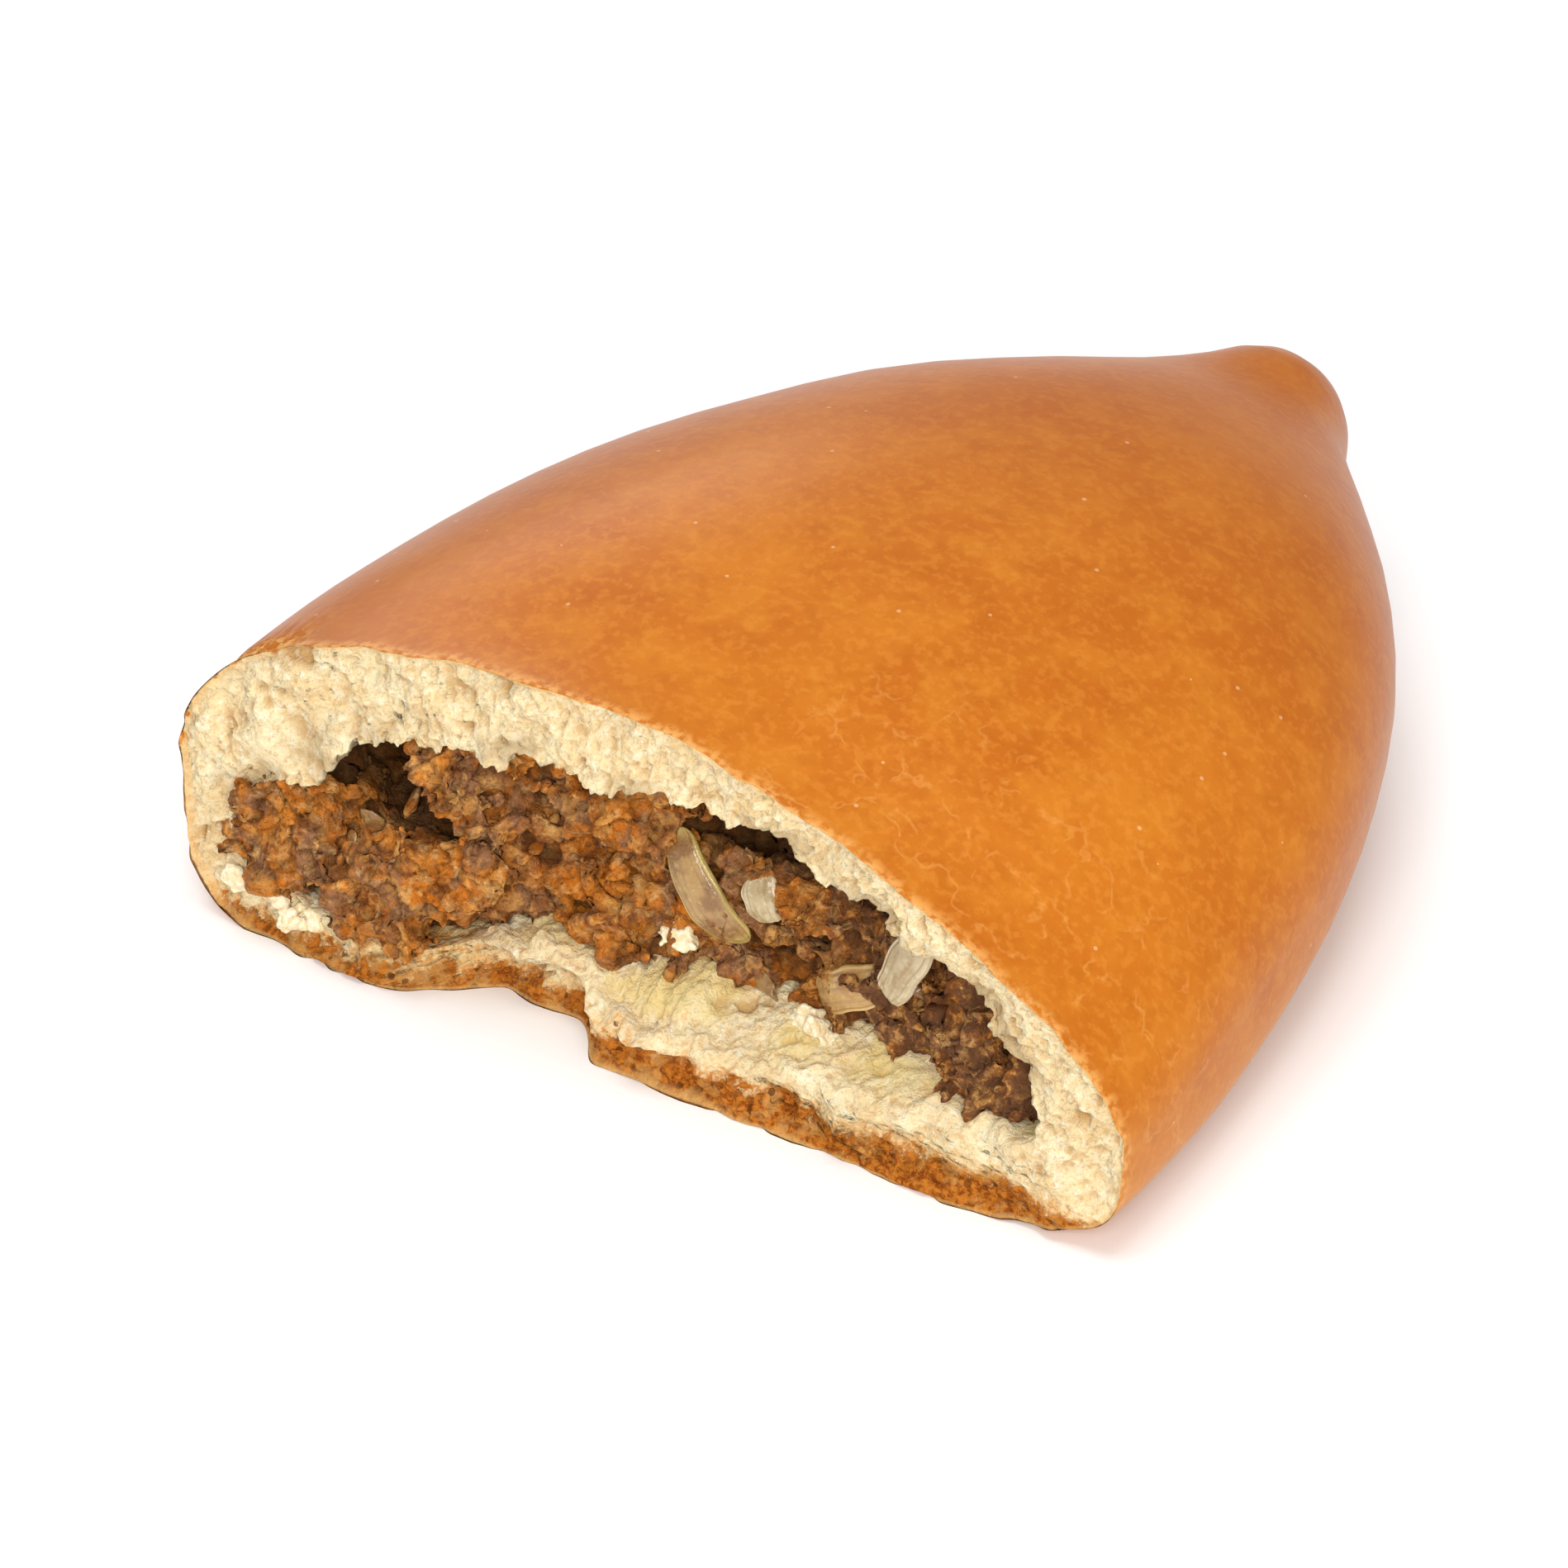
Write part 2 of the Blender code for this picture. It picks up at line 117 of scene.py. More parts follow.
# Name, x, z, how far it stands out, length, width, and its turn and bend in degrees
ONION_PIECES = (
    ("onion_petal", 2.0, 12.6, 1.3, 9.6, 5.2, -52.0, 70.0),
    ("onion_chunk", 18.4, 14.2, 1.7, 7.0, 3.8, 62.0, 25.0),
    ("onion_fan", 13.0, 9.3, 1.3, 6.8, 4.4, 30.0, 50.0),
)
ONION_THICKNESS = 1.3

# Points round each ring of the dough, and rings on its crust, torn face, wall and far wall
ROUND = 840
OUTER_RINGS = 32
TORN_RINGS = 36
WALL_RINGS = 44
BACK_RINGS = 6
RIM = OUTER_RINGS  # the ring along the edge of the crust
CORNER = OUTER_RINGS + TORN_RINGS  # the ring along the mouth of the hollow

# Middles from which bearings are taken
TEAR_CENTRE = np.array([0.5, 8.5])
MOUTH_CENTRE = np.array([2.0, 0.0, 7.6])

# The relief stays inside the box of the solids
FRONT_LIMIT = -1.42
BOX_TOP = 29.47
BOX_RIGHT = 36.34


def lattice_value(cells, pattern):
    """A fixed pseudo-random number from -1 to 1 for each whole-number cell (n, 3)."""
    mixed = (cells * np.array([12.9898, 78.233, 37.719])).sum(axis=-1) + pattern * 4.137
    return 2.0 * np.modf(np.abs(np.sin(mixed) * 43758.5453))[0] - 1.0


def swell(points, size, pattern):
    """Smooth value noise from -1 to 1 at points (..., 3), with bumps of that size."""
    scaled = points / size + 100.0
    cell = np.floor(scaled)
    share = scaled - cell
    share = share * share * (3.0 - 2.0 * share)
    total = np.zeros(points.shape[:-1])
    for corner in np.ndindex(2, 2, 2):
        corner = np.array(corner)
        weight = np.prod(np.where(corner == 1, share, 1.0 - share), axis=-1)
        total += weight * lattice_value(cell + corner, pattern)
    return total


def bubbles(points, size, pattern):
    """Distances to the nearest and second nearest of scattered seeds, as shares of size, and
    a number from -1 to 1 that belongs to the nearest seed."""
    scaled = points / size + 100.0
    home = np.floor(scaled)
    nearest = np.full(points.shape[:-1], 9.0)
    second = nearest.copy()
    mark = np.zeros(points.shape[:-1])
    for corner in np.ndindex(3, 3, 3):
        cell = home + np.array(corner) - 1.0
        seed = np.stack([lattice_value(cell, pattern + k) for k in range(3)], axis=-1)
        apart = np.linalg.norm(cell + 0.5 + 0.45 * seed - scaled, axis=-1)
        closer = apart < nearest
        second = np.where(closer, nearest, np.minimum(second, apart))
        mark = np.where(closer, lattice_value(cell, pattern + 3), mark)
        nearest = np.where(closer, apart, nearest)
    return nearest, second, mark


def layers_of(points, *layers):
    """Smooth noise of several layers added up: size, height and pattern of each."""
    return sum(height * swell(points, size, pattern) for size, height, pattern in layers)


def stirred(points, size, by, pattern):
    """The points moved about by smooth noise, to break up regular patterns."""
    shift = np.stack([swell(points, size, pattern + k) for k in range(3)], axis=-1)
    return points + by * shift


def ramp(value, start, end):
    """0 before start, 1 after end, and a smooth step between."""
    share = np.clip((value - start) / (end - start), 0.0, 1.0)
    return share * share * (3.0 - 2.0 * share)


def fall(value, start, end):
    """1 before start, 0 after end, and a smooth step between."""
    return 1.0 - ramp(value, start, end)


def through_stations(y, column):
    """A smooth curve through one column of the outer stations (cubic Hermite)."""
    places, values = np.array(OUTER_STATIONS)[:, [0, column]].T
    slopes = np.gradient(values, places)
    slopes[0] = 0.0
    y = np.clip(np.abs(y), places[0], places[-1])
    low = np.clip(np.searchsorted(places, y, side="right") - 1, 0, len(places) - 2)
    span = places[low + 1] - places[low]
    t = (y - places[low]) / span
    return (
        values[low] * (1 + 2 * t) * (1 - t) ** 2
        + values[low + 1] * t * t * (3 - 2 * t)
        + span * slopes[low] * t * (1 - t) ** 2
        - span * slopes[low + 1] * t * t * (1 - t)
    )


def end_closing(y, length, radius):
    """1 along the form, falling to 0 as a quarter circle at its far end."""
    past_tip = np.clip((y - (length - radius)) / radius, 0.0, 1.0)
    return np.sqrt(1.0 - past_tip**2)


def middle_line(y):
    """The x of the middle of the loaf, a parabola along its length."""
    along = np.clip(y, 0, None) / HALF_LENGTH
    return MIDDLE_AT_TEAR + (MIDDLE_AT_TIP - MIDDLE_AT_TEAR) * along**2


def section_reach(angle, half_width, above, below, top_power, base_power):
    """Distance from the section's centre to its outline, a superellipse in polar form."""
    power = np.where(np.sin(angle) >= 0, top_power, base_power)
    height = np.where(np.sin(angle) >= 0, above, below)
    across = np.abs(np.cos(angle)) / half_width
    along = np.abs(np.sin(angle)) / height
    return (across**power + along**power) ** (-1.0 / power)


def outer_points(y, angle):
    """The crust: a leaning superellipse section at each y, cut flat at the base."""
    y, angle = np.broadcast_arrays(y, angle)
    closing = np.maximum(end_closing(y, HALF_LENGTH, NUB_RADIUS), 1e-3)
    top = through_stations(y, 2)
    base = np.maximum(through_stations(y, 3), 0.0)
    lean = fall(y, 0.0, EVEN_FROM)
    crown = CROWN_AT_TEAR * lean
    side = np.where(np.cos(angle) >= 0, 1.0, -1.0)
    widest = TIP_WIDEST + (np.where(side > 0, RIGHT_WIDEST, LEFT_WIDEST) - TIP_WIDEST) * lean
    roundness = LEFT_ROUNDNESS + np.where(side > 0, RIGHT_ROUNDNESS - LEFT_ROUNDNESS, 0.0) * lean
    squareness = np.where(side > 0, RIGHT_BASE_SQUARENESS, LEFT_BASE_SQUARENESS)
    squareness = squareness + (BASE_SQUARENESS_BEHIND - squareness) * ramp(y, *BASE_ROUNDS_OFF)
    centre = base + (top - base) * widest
    reach = section_reach(
        angle,
        (through_stations(y, 1) - side * crown) * closing,
        (top - centre) * closing,
        (centre - base) * closing * BASE_OVERDEPTH,
        roundness,
        squareness,
    )
    x = crown * closing + reach * np.cos(angle)
    rise = reach * np.sin(angle)
    size, height = CRUST_SWELL
    lift = 1.0 + height / TYPICAL_RADIUS * swell(np.stack([x, y, rise], axis=-1), size, 3)
    underside = centre - (centre - base) * closing
    z = np.maximum(centre + rise * lift, underside)
    return np.stack([x * lift + middle_line(y), y, z], axis=-1)


def cavity_points(y, angle, inset=0.0):
    """The wall of the hollow that holds the filling, or a line that far inside it."""
    y, angle = np.broadcast_arrays(y, angle)
    closing = np.maximum(end_closing(y, CAVITY_LENGTH, CAVITY_END_RADIUS), 2e-2)
    ceiling = through_stations(y, 2) - ROOF_WALL
    floor = np.maximum(through_stations(y, 3), 0.0) + FLOOR_WALL
    centre = floor + (ceiling - floor) * CAVITY_WIDEST
    side = np.where(np.cos(angle) >= 0, 1.0, -1.0)
    wall = np.where(side > 0, RIGHT_WALL, LEFT_WALL)
    half_width = np.maximum(through_stations(y, 1) - wall, 3.0)
    crown = CAVITY_CROWN * fall(y, 0.0, EVEN_FROM)
    reach = section_reach(
        angle,
        (half_width - side * crown) * closing,
        (ceiling - centre) * closing,
        (centre - floor) * closing,
        CAVITY_ROUNDNESS,
        CAVITY_FLOOR_SQUARENESS,
    )
    size, height = CAVITY_CRAGS
    around = np.stack([TYPICAL_RADIUS * np.cos(angle), y, TYPICAL_RADIUS * np.sin(angle)], axis=-1)
    reach = reach + height * swell(around, size, 11) * closing - 0.5 * height
    reach = np.maximum(reach - inset, 0.3)
    x = crown * closing + reach * np.cos(angle) + middle_line(y)
    drop = LEFT_FLOOR_DROP * ramp(-x, *LEFT_FLOOR_REGION) * closing
    z = centre + reach * np.sin(angle) - drop * (np.sin(angle) < 0)
    return np.stack([x, y * (1.0 - inset / CAVITY_LENGTH), z], axis=-1)


def crags(x, z, relief, pattern):
    """Relief over a face that looks forwards: smooth noise of several sizes and heights."""
    place = np.stack([x, np.zeros_like(x), z], axis=-1)
    rows = [(size, height, pattern + layer) for layer, (size, height) in enumerate(relief)]
    return layers_of(place, *rows)


def notch(x, z):
    """How far the tear runs back in the base, just left of the broken edge of the crumb."""
    across = ramp(x, *NOTCH_LEFT) * fall(x, *NOTCH_RIGHT)
    return NOTCH_DEPTH * across * fall(z, *NOTCH_TOP)


def mince_plane(x, z):
    """The y of the front of the mince without its hollows and crags."""
    low = fall(z, 7.0, 11.0)
    step = ramp(x, STEP_REGION[0] - 4.0 * low, STEP_REGION[1] - 7.0 * low)
    depth = MINCE_LEFT_DEPTH + MINCE_STEP_BACK * step
    depth += MINCE_FOOT_BACK * step * fall(z, *FOOT_REGION)
    return depth - MINCE_COMES_FORWARD * ramp(x, *FORWARD_REGION)


def hollow_depth(x, z):
    """How far the hollows run back behind the front of the mince."""
    total = np.zeros_like(x)
    for hollow_x, hollow_z, reach, deep in HOLLOWS:
        total = total + deep * np.exp(-((x - hollow_x) ** 2 + (z - hollow_z) ** 2) / reach**2)
    return total


def mince_depth(x, z, deepen=1.0, share=1.0):
    """The y of the front of the mince, with its hollows deepened and a share of its crags."""
    return mince_plane(x, z) + deepen * hollow_depth(x, z) + share * crags(x, z, MINCE_CRAGS, 31)


# Meshes from arrays


def ring_shares(rings):
    """A column of even shares of the way, one for each ring, up to 1 at the last."""
    return (np.arange(1, rings + 1) / rings)[:, None]


def grid_faces(rings, around):
    """Quads between neighbouring rings of a grid that closes on itself round each ring, as
    four indices each."""
    ring = np.arange(rings - 1)[:, None] * around
    here = np.arange(around)[None, :]
    following = (here + 1) % around
    above = ring + around
    quads = np.stack([ring + here, ring + following, above + following, above + here], axis=-1)
    return quads.reshape(-1, 4)


def fan_faces(pole, first, around, outward):
    """Triangles from one pole point to a ring that starts at index first."""
    here = np.arange(around)
    following = (here + 1) % around
    pair = (here, following) if outward else (following, here)
    return np.stack([np.full(around, pole), first + pair[0], first + pair[1]], axis=-1)


def add_marks(mesh, marks):
    """Stores a number for each point of a mesh under each mark's name."""
    for mark, values in marks.items():
        attribute = mesh.attributes.new(mark, "FLOAT", "POINT")
        attribute.data.foreach_set("value", values.astype(np.float32).ravel())


def in_frame(points):
    """Points in metres in the shared frame, as the flat row that a mesh takes."""
    return ((points + TEAR_MIDDLE) * MM).astype(np.float32).ravel()


def show(name, data):
    """Puts a new object with that data into the scene."""
    made = bpy.data.objects.new(name, data)
    bpy.context.scene.collection.objects.link(made)
    return made


def mesh_from(name, points, quads=None, triangles=None, marks=None):
    """A smooth-shaded mesh object from points in millimetres, quads, triangles and marks."""
    mesh = bpy.data.meshes.new(name)
    quads = np.zeros((0, 4), int) if quads is None else quads
    triangles = np.zeros((0, 3), int) if triangles is None else triangles
    corners = np.concatenate([quads.ravel(), triangles.ravel()]).astype(np.int32)
    sizes = np.concatenate([np.full(len(quads), 4), np.full(len(triangles), 3)])
    starts = np.concatenate([[0], np.cumsum(sizes)[:-1]]).astype(np.int32)
    mesh.vertices.add(len(points))
    mesh.vertices.foreach_set("co", in_frame(points))
    mesh.loops.add(len(corners))
    mesh.loops.foreach_set("vertex_index", corners)
    mesh.polygons.add(len(sizes))
    mesh.polygons.foreach_set("loop_start", starts)
    mesh.update(calc_edges=True)
    mesh.validate()
    mesh.polygons.foreach_set("use_smooth", np.ones(len(mesh.polygons), bool))
    add_marks(mesh, marks or {})
    return show(name, mesh)


def face_outwards(piece):
    """Turns the faces of a closed piece outwards."""
    shape = bmesh.new()
    shape.from_mesh(piece.data)
    bmesh.ops.recalc_face_normals(shape, faces=shape.faces)
    if shape.calc_volume(signed=True) < 0:
        bmesh.ops.reverse_faces(shape, faces=shape.faces)
    shape.to_mesh(piece.data)
    shape.free()


def closed_grid(name, grid, marks=None):
    """A closed piece from a grid of rings (rings, around, 3), each end drawn to a pole, with
    its faces outwards."""
    rings, around, _ = grid.shape
    poles = np.stack([grid[0].mean(axis=0), grid[-1].mean(axis=0)])
    points = np.concatenate([grid.reshape(-1, 3), poles])
    count = rings * around
    triangles = np.concatenate(
        [fan_faces(count, 0, around, False), fan_faces(count + 1, count - around, around, True)]
    )
    full = {
        mark: np.concatenate([values.ravel(), [values[0].mean(), values[-1].mean()]])
        for mark, values in (marks or {}).items()
    }
    piece = mesh_from(name, points, grid_faces(rings, around), triangles, full)
    face_outwards(piece)
    return piece


def grid_normals(grid):
    """Unit normals of a grid that closes round its rings, from neighbouring points."""
    along = np.gradient(grid, axis=0)
    around = np.roll(grid, -1, axis=1) - np.roll(grid, 1, axis=1)
    normal = np.cross(along, around)
    return normal / np.maximum(np.linalg.norm(normal, axis=-1, keepdims=True), 1e-9)


# Dough

TURN_STEPS = 4000


def matching_turns():
    """Angles on the outer and the inner outline of the tear that lie in the same direction
    from one centre, spread evenly along the middle of the crumb."""
    angle = np.linspace(-math.pi, math.pi, TURN_STEPS + 1)
    bearings = []
    for outline in (outer_points(0.0, angle), cavity_points(0.0, angle)):
        offset = outline[:, [0, 2]] - TEAR_CENTRE
        bearings.append(np.unwrap(np.arctan2(offset[:, 1], offset[:, 0])))
    start = bearings[0][0]
    fine = np.linspace(start, start + 2 * math.pi, 2 * TURN_STEPS + 1)

    def lookup(bearing, wanted):
        lap = np.round((start - bearing[0]) / (2 * math.pi)) * 2 * math.pi
        bearing = np.maximum.accumulate(bearing + lap)
        three = np.concatenate([bearing[:-1] - 2 * math.pi, bearing[:-1], bearing + 2 * math.pi])
        turns = np.concatenate([angle[:-1] - 2 * math.pi, angle[:-1], angle + 2 * math.pi])
        order = np.argsort(three, kind="stable")
        return np.interp(wanted, three[order], turns[order])

    outer, inner = lookup(bearings[0], fine), lookup(bearings[1], fine)
    middle = outer_points(0.0, outer) + cavity_points(0.0, inner)
    steps = np.linalg.norm(np.diff(middle, axis=0), axis=1)
    travelled = np.concatenate([[0.0], np.cumsum(steps)])
    even = np.linspace(0.0, travelled[-1], ROUND + 1)[:-1]
    wanted = np.interp(even, travelled, fine)
    return np.interp(wanted, fine, outer), np.interp(wanted, fine, inner)


RIM_CRAGS = 0.35  # share of the crags that is left along the edge of the crust
RIM_FRAY = 0.26
MOUTH_FRAY = 0.5
TORN_SET_BACK = 0.2  # how far the torn face lies behind that of the solid


def torn_face(x, z, share):
    """The y of the torn face, with that share of its crags."""
    return notch(x, z) + share * crags(x, z, TEAR_CRAGS, 21) + TORN_SET_BACK


def meet_tear(points_at, angle, share, fray):
    """The y at which a long form meets the torn face, found by repeated steps."""
    y = np.zeros_like(angle)
    for _ in range(6):
        x, _, z = points_at(y, angle).T
        place = np.stack([x, 0 * x, z], axis=-1)
        y = torn_face(x, z, share) + fray * swell(place, 1.3, 51)
    return y


# Open bubbles of the crumb: size, depth and pattern
CRUMB_PORES = ((2.2, 0.9, 71), (1.3, 0.9, 81), (0.8, 0.6, 91), (0.5, 0.35, 95))


def crumb_relief(points):
    """How far torn crumb lies below its face: open bubbles of four sizes, and fluff."""
    loose = stirred(points, 1.6, 0.5, 61)
    total = 0.30 + 0.30 * swell(loose, 2.6, 99)
    for size, deep, pattern in CRUMB_PORES:
        nearest, _, mark = bubbles(loose, size, pattern)
        hollow = np.clip(1.0 - (nearest / 0.6) ** 2, 0.0, 1.0)
        total = total + deep * hollow * np.clip(1.9 * mark - 0.9, 0.0, 1.0)
    fluff = stirred(points, 0.7, 0.3, 64)
    total = total + 0.26 * np.abs(swell(fluff, 0.8, 101)) + 0.34 * swell(fluff, 0.46, 103)
    return total + 0.24 * swell(points, 0.3, 105)


# Where the marks of the dough begin or end, from one value to the other
TOAST_TOP = 1.5
TOAST_RISES = ((0.4, -17.0, -12.0), (0.7, -8.0, -4.0))  # by how much, over which x
TOAST_BLUR = (1.5, 1.7)  # below and above its top
SOAK_LEFT, SOAK_RIGHT, SOAK_TOP = (-23.5, -21.0), (-15.5, -12.5), (3.4, 5.6)
WET_LATE = 20.0  # rings by which the wet starts later low down
WET_LOW = (8.0, 12.0)
WET_RINGS = (CORNER - 16, CORNER - 2)
FLAYED_X, FLAYED_Z, FLAYED_Y = (-28.5, -25.0), (10.0, 13.0), (2.2, 3.4)


def dough_marks(grid, depth, relief):
    """Where the dough is toasted, soaked, wet or flayed, each from 0 to 1, for the colours."""
    x, y, z = np.moveaxis(grid, -1, 0)
    fray = layers_of(grid, (1.4, 0.5, 55), (0.6, 0.35, 56))
    top = TOAST_TOP + sum(rise * ramp(x, *span) for rise, *span in TOAST_RISES)
    toast = fall(z + fray, top - TOAST_BLUR[0], top + TOAST_BLUR[1])
    toast[:RIM] = ramp(-z[:RIM], -1.0, -0.15)
    toast[CORNER + 6 :] = 0.0
    soak = ramp(x, *SOAK_LEFT) * fall(x, *SOAK_RIGHT)
    soak = soak * fall(z + 1.5 * fray, *SOAK_TOP)
    soak[:RIM] = 0.0
    row = np.arange(len(grid))[:, None]
    late = WET_LATE * fall(z, *WET_LOW)
    wet = ramp(row - late, *WET_RINGS) * ramp(swell(grid, 3.2, 57) + 0.4 * fray, -0.3, 0.3)
    flayed = fall(x, *FLAYED_X) * ramp(z, *FLAYED_Z) * fall(y + 2.4 * fray, *FLAYED_Y)
    flayed[RIM:] = 0.0
    marks = {"crust_depth": depth, "pits": relief, "toast": toast, "soak": soak}
    return marks | {"wet": wet, "flayed": flayed}


FLAP = (-26.0, 14.6, 3.2, 1.8)  # x, z, reach, how far it hangs inwards
FLAP_HANGS = np.array([0.75, 0.0, -0.65])
FLAP_ENDS = (4.0, 10.0)
LIP_WANDER = ((1.7, 0.60, 63), (0.8, 0.40, 65))  # size, height, pattern
LIP_ENDS = (0.5, 4.0)
UP = np.array([0.0, 0.0, 1.0])
SIDEWAYS = np.array([1.0, 0.0, 1.0])  # drops the y
SHELF_LEFT, SHELF_RIGHT, SHELF_TOP = (-17.0, -12.0), (24.0, 31.0), (6.0, 9.0)
SHELF_RISE = (1.7, 0.5, 6.5)  # by how much, over which y
SHELF_DROP = (1.9, -1.0, 3.5)


def with_flap(points):
    """Lets the crumb hang further into the mouth near its upper left corner."""
    flap_x, flap_z, reach, hang = FLAP
    x, y, z = np.moveaxis(points, -1, 0)
    share = np.exp(-((x - flap_x) ** 2 + (z - flap_z) ** 2) / reach**2)
    return points + (share * fall(y, *FLAP_ENDS) * hang)[..., None] * FLAP_HANGS


def with_ragged_lip(points, past):
    """Moves the wall in and out near the mouth by smooth noise of two sizes, fading over a few
    millimetres behind the tear. past is the distance behind it."""
    flat = points * SIDEWAYS
    out = flat - MOUTH_CENTRE * SIDEWAYS
    out = out / np.linalg.norm(out, axis=-1, keepdims=True)
    ease = fall(past, *LIP_ENDS) * (0.3 + 0.7 * ramp(points[..., 2], 4.0, 9.0))
    return points - out * (layers_of(flat, *LIP_WANDER) * ease)[..., None]


def with_slope(points):
    """Tilts the crumb shelf under the mince, so that it falls towards its torn front."""
    x, y, z = np.moveaxis(points, -1, 0)
    share = ramp(x, *SHELF_LEFT) * fall(x, *SHELF_RIGHT) * fall(z, *SHELF_TOP)
    lift = SHELF_RISE[0] * ramp(y, *SHELF_RISE[1:]) - SHELF_DROP[0] * fall(y, *SHELF_DROP[1:])
    return points + (share * lift)[..., None] * UP


FORWARDS = np.array([0.0, -1.0, 0.0])
LOAF_MIDDLE = np.array([0.0, 0.0, 12.0])
CREST_HEIGHT = 0.9
WALL_DEPTH = 11.0  # how far behind the tear the fine rings of the wall end
RELIEF_FADES = (8.5, WALL_DEPTH)


def wall_points(y, turn, mouth_y):
    """The wall of the hollow near the tear, with its flap, sloping shelf and ragged lip."""
    wall = with_slope(with_flap(cavity_points(y, turn)))
    return with_ragged_lip(wall, y - mouth_y)


def dough_rings():
    """The rings of the dough without relief, from the pole of the tip along the crust to the
    tear, over the torn face and along the wall of the hollow, and the y of the crust's edge."""
    outer_turn, inner_turn = matching_turns()
    rim_y = meet_tear(outer_points, outer_turn, RIM_CRAGS, RIM_FRAY)
    mouth_y = meet_tear(cavity_points, inner_turn, 1.0, MOUTH_FRAY)

    share = 0.5 - 0.5 * np.cos(math.pi * np.arange(OUTER_RINGS + 1) / OUTER_RINGS)[:, None]
    y = HALF_LENGTH - (HALF_LENGTH - rim_y)[None] * share
    crust = outer_points(y, outer_turn)
    edge = crust[-1][None]

    mouth = wall_points(mouth_y, inner_turn, mouth_y)
    share = ring_shares(TORN_RINGS)[:-1, :, None]
    torn = edge * (1 - share) + mouth[None] * share
    off_rim = np.linalg.norm((torn - edge)[..., [0, 2]], axis=-1)
    kept = RIM_CRAGS + (1 - RIM_CRAGS) * ramp(off_rim, 0.0, 2.0)
    torn[..., 1] = torn_face(torn[..., 0], torn[..., 2], kept)

    share = (np.arange(WALL_RINGS) / (WALL_RINGS - 1))[:, None]
    y = mouth_y[None] + (WALL_DEPTH - mouth_y)[None] * share**1.3
    wall = wall_points(y, inner_turn, mouth_y[None])
    share = ring_shares(BACK_RINGS)
    y = WALL_DEPTH + (CAVITY_LENGTH - WALL_DEPTH) * np.sin(share * math.pi / 2)
    back = cavity_points(y, inner_turn)
    return np.concatenate([crust, torn, wall, back]), rim_y


def relief_directions(grid, turned):
    """The outward direction at each point. It is forwards on the torn face and the wall's own
    normal behind it, and turns from one to the other near the mouth. On the crust it is the
    normal that points away from the middle of the loaf."""
    normal = grid_normals(grid)
    if normal[RIM + TORN_RINGS // 2, :, 1].mean() > 0:
        normal = -normal
    wall_normal = normal.copy()
    wall_normal[RIM : CORNER + 3] = normal[CORNER + 3][None]
    turned = turned[..., None]
    lean = wall_normal * turned + FORWARDS * (1 - turned)
    from_middle = grid[:RIM] - LOAF_MIDDLE
    lean[:RIM] = normal[:RIM] * np.sign((normal[:RIM] * from_middle).sum(axis=-1))[..., None]
    return lean


def relief_strength(grid, depth, behind, turned):
    """How much of the crumb's relief acts at each point: none on the crust, less on the base,
    on the shelf, near the mouth low down, in one doughy patch and at the lower right."""
    x, y, z = np.moveaxis(grid, -1, 0)
    shelf = turned * fall(z, 6.0, 10.0)
    strength = ramp(depth, 0.0, 0.5) * (1 - 0.15 * turned) * (1 - 0.3 * shelf)
    strength = strength * (0.25 + 0.75 * ramp(z, 0.1, 0.9))
    near_mouth = np.exp(-((behind / 1.4) ** 2))
    strength *= 1.0 - 0.65 * near_mouth * fall(z, 4.0, 8.0)
    doughy = np.exp(-(((x + 27.0) / 3.6) ** 2) - ((z - 15.0) / 2.6) ** 2)
    strength *= 1.0 - 0.6 * doughy
    strength *= 1.0 - 0.5 * ramp(x, 14.0, 22.0) * fall(z, 5.0, 8.0)
    strength[CORNER:] *= fall(y[CORNER:], *RELIEF_FADES)
    strength[:RIM] = 0.0
    return strength


def shelf_crest(grid, behind):
    """The height of a ragged ridge along the front edge of the crumb shelf."""
    crest = np.exp(-(((behind - 0.9) / 1.1) ** 2))
    crest *= fall(grid[..., 2], *SHELF_TOP) * ramp(grid[..., 0], -16.0, -12.0)
    crest *= 0.3 + np.abs(swell(grid, 1.9, 67)) + 0.4 * np.abs(swell(grid, 0.9, 68))
    crest[:RIM] = 0.0
    return CREST_HEIGHT * crest


def make_dough():
    """Crust, torn face and inner wall as one closed surface of rings round the loaf. The rings
    start at the pole of the tip, run along the crust to the tear, cross the torn crumb towards
    the middle, and follow the wall of the hollow to its back. Bubbles and smooth noise move
    the points of the crumb inwards, and the shelf gets a ragged crest."""
    grid, rim_y = dough_rings()
    depth = -np.minimum(np.abs(grid[..., 1] - rim_y[None]), 5.0)
    depth[RIM:] = np.linalg.norm((grid[RIM:] - grid[RIM][None])[..., [0, 2]], axis=-1)
    depth[CORNER:] = np.maximum(depth[CORNER:], 4.0)
    along = np.cumsum(np.linalg.norm(np.diff(grid, axis=0, prepend=grid[:1]), axis=-1), axis=0)
    behind = along - along[CORNER][None]
    turned = ramp(behind, -1.4, 1.8)
    lean = relief_directions(grid, turned)
    strength = relief_strength(grid, depth, behind, turned)
    crest = shelf_crest(grid, behind)

    crumb = slice(RIM, len(grid) - BACK_RINGS)
    relief = np.zeros(grid.shape[:2])
    relief[crumb] = crumb_relief(grid[crumb])
    marks = dough_marks(grid, depth, relief)
    strength[:RIM] = 0.35 * marks["flayed"][:RIM]
    skin = grid[:RIM]
    relief[:RIM] = np.abs(swell(skin, 0.9, 58)) + 0.6 * np.abs(swell(skin, 0.45, 59))

    grid = grid - lean * (strength * relief)[..., None]
    grid[..., 2] += crest
    grid[..., 0] = np.minimum(grid[..., 0], BOX_RIGHT)
    grid[..., 1] = np.maximum(grid[..., 1], FRONT_LIMIT)
    grid[..., 2] = np.clip(grid[..., 2], 0.0, BOX_TOP)
    return closed_grid("dough_half", grid, marks)


# Mince


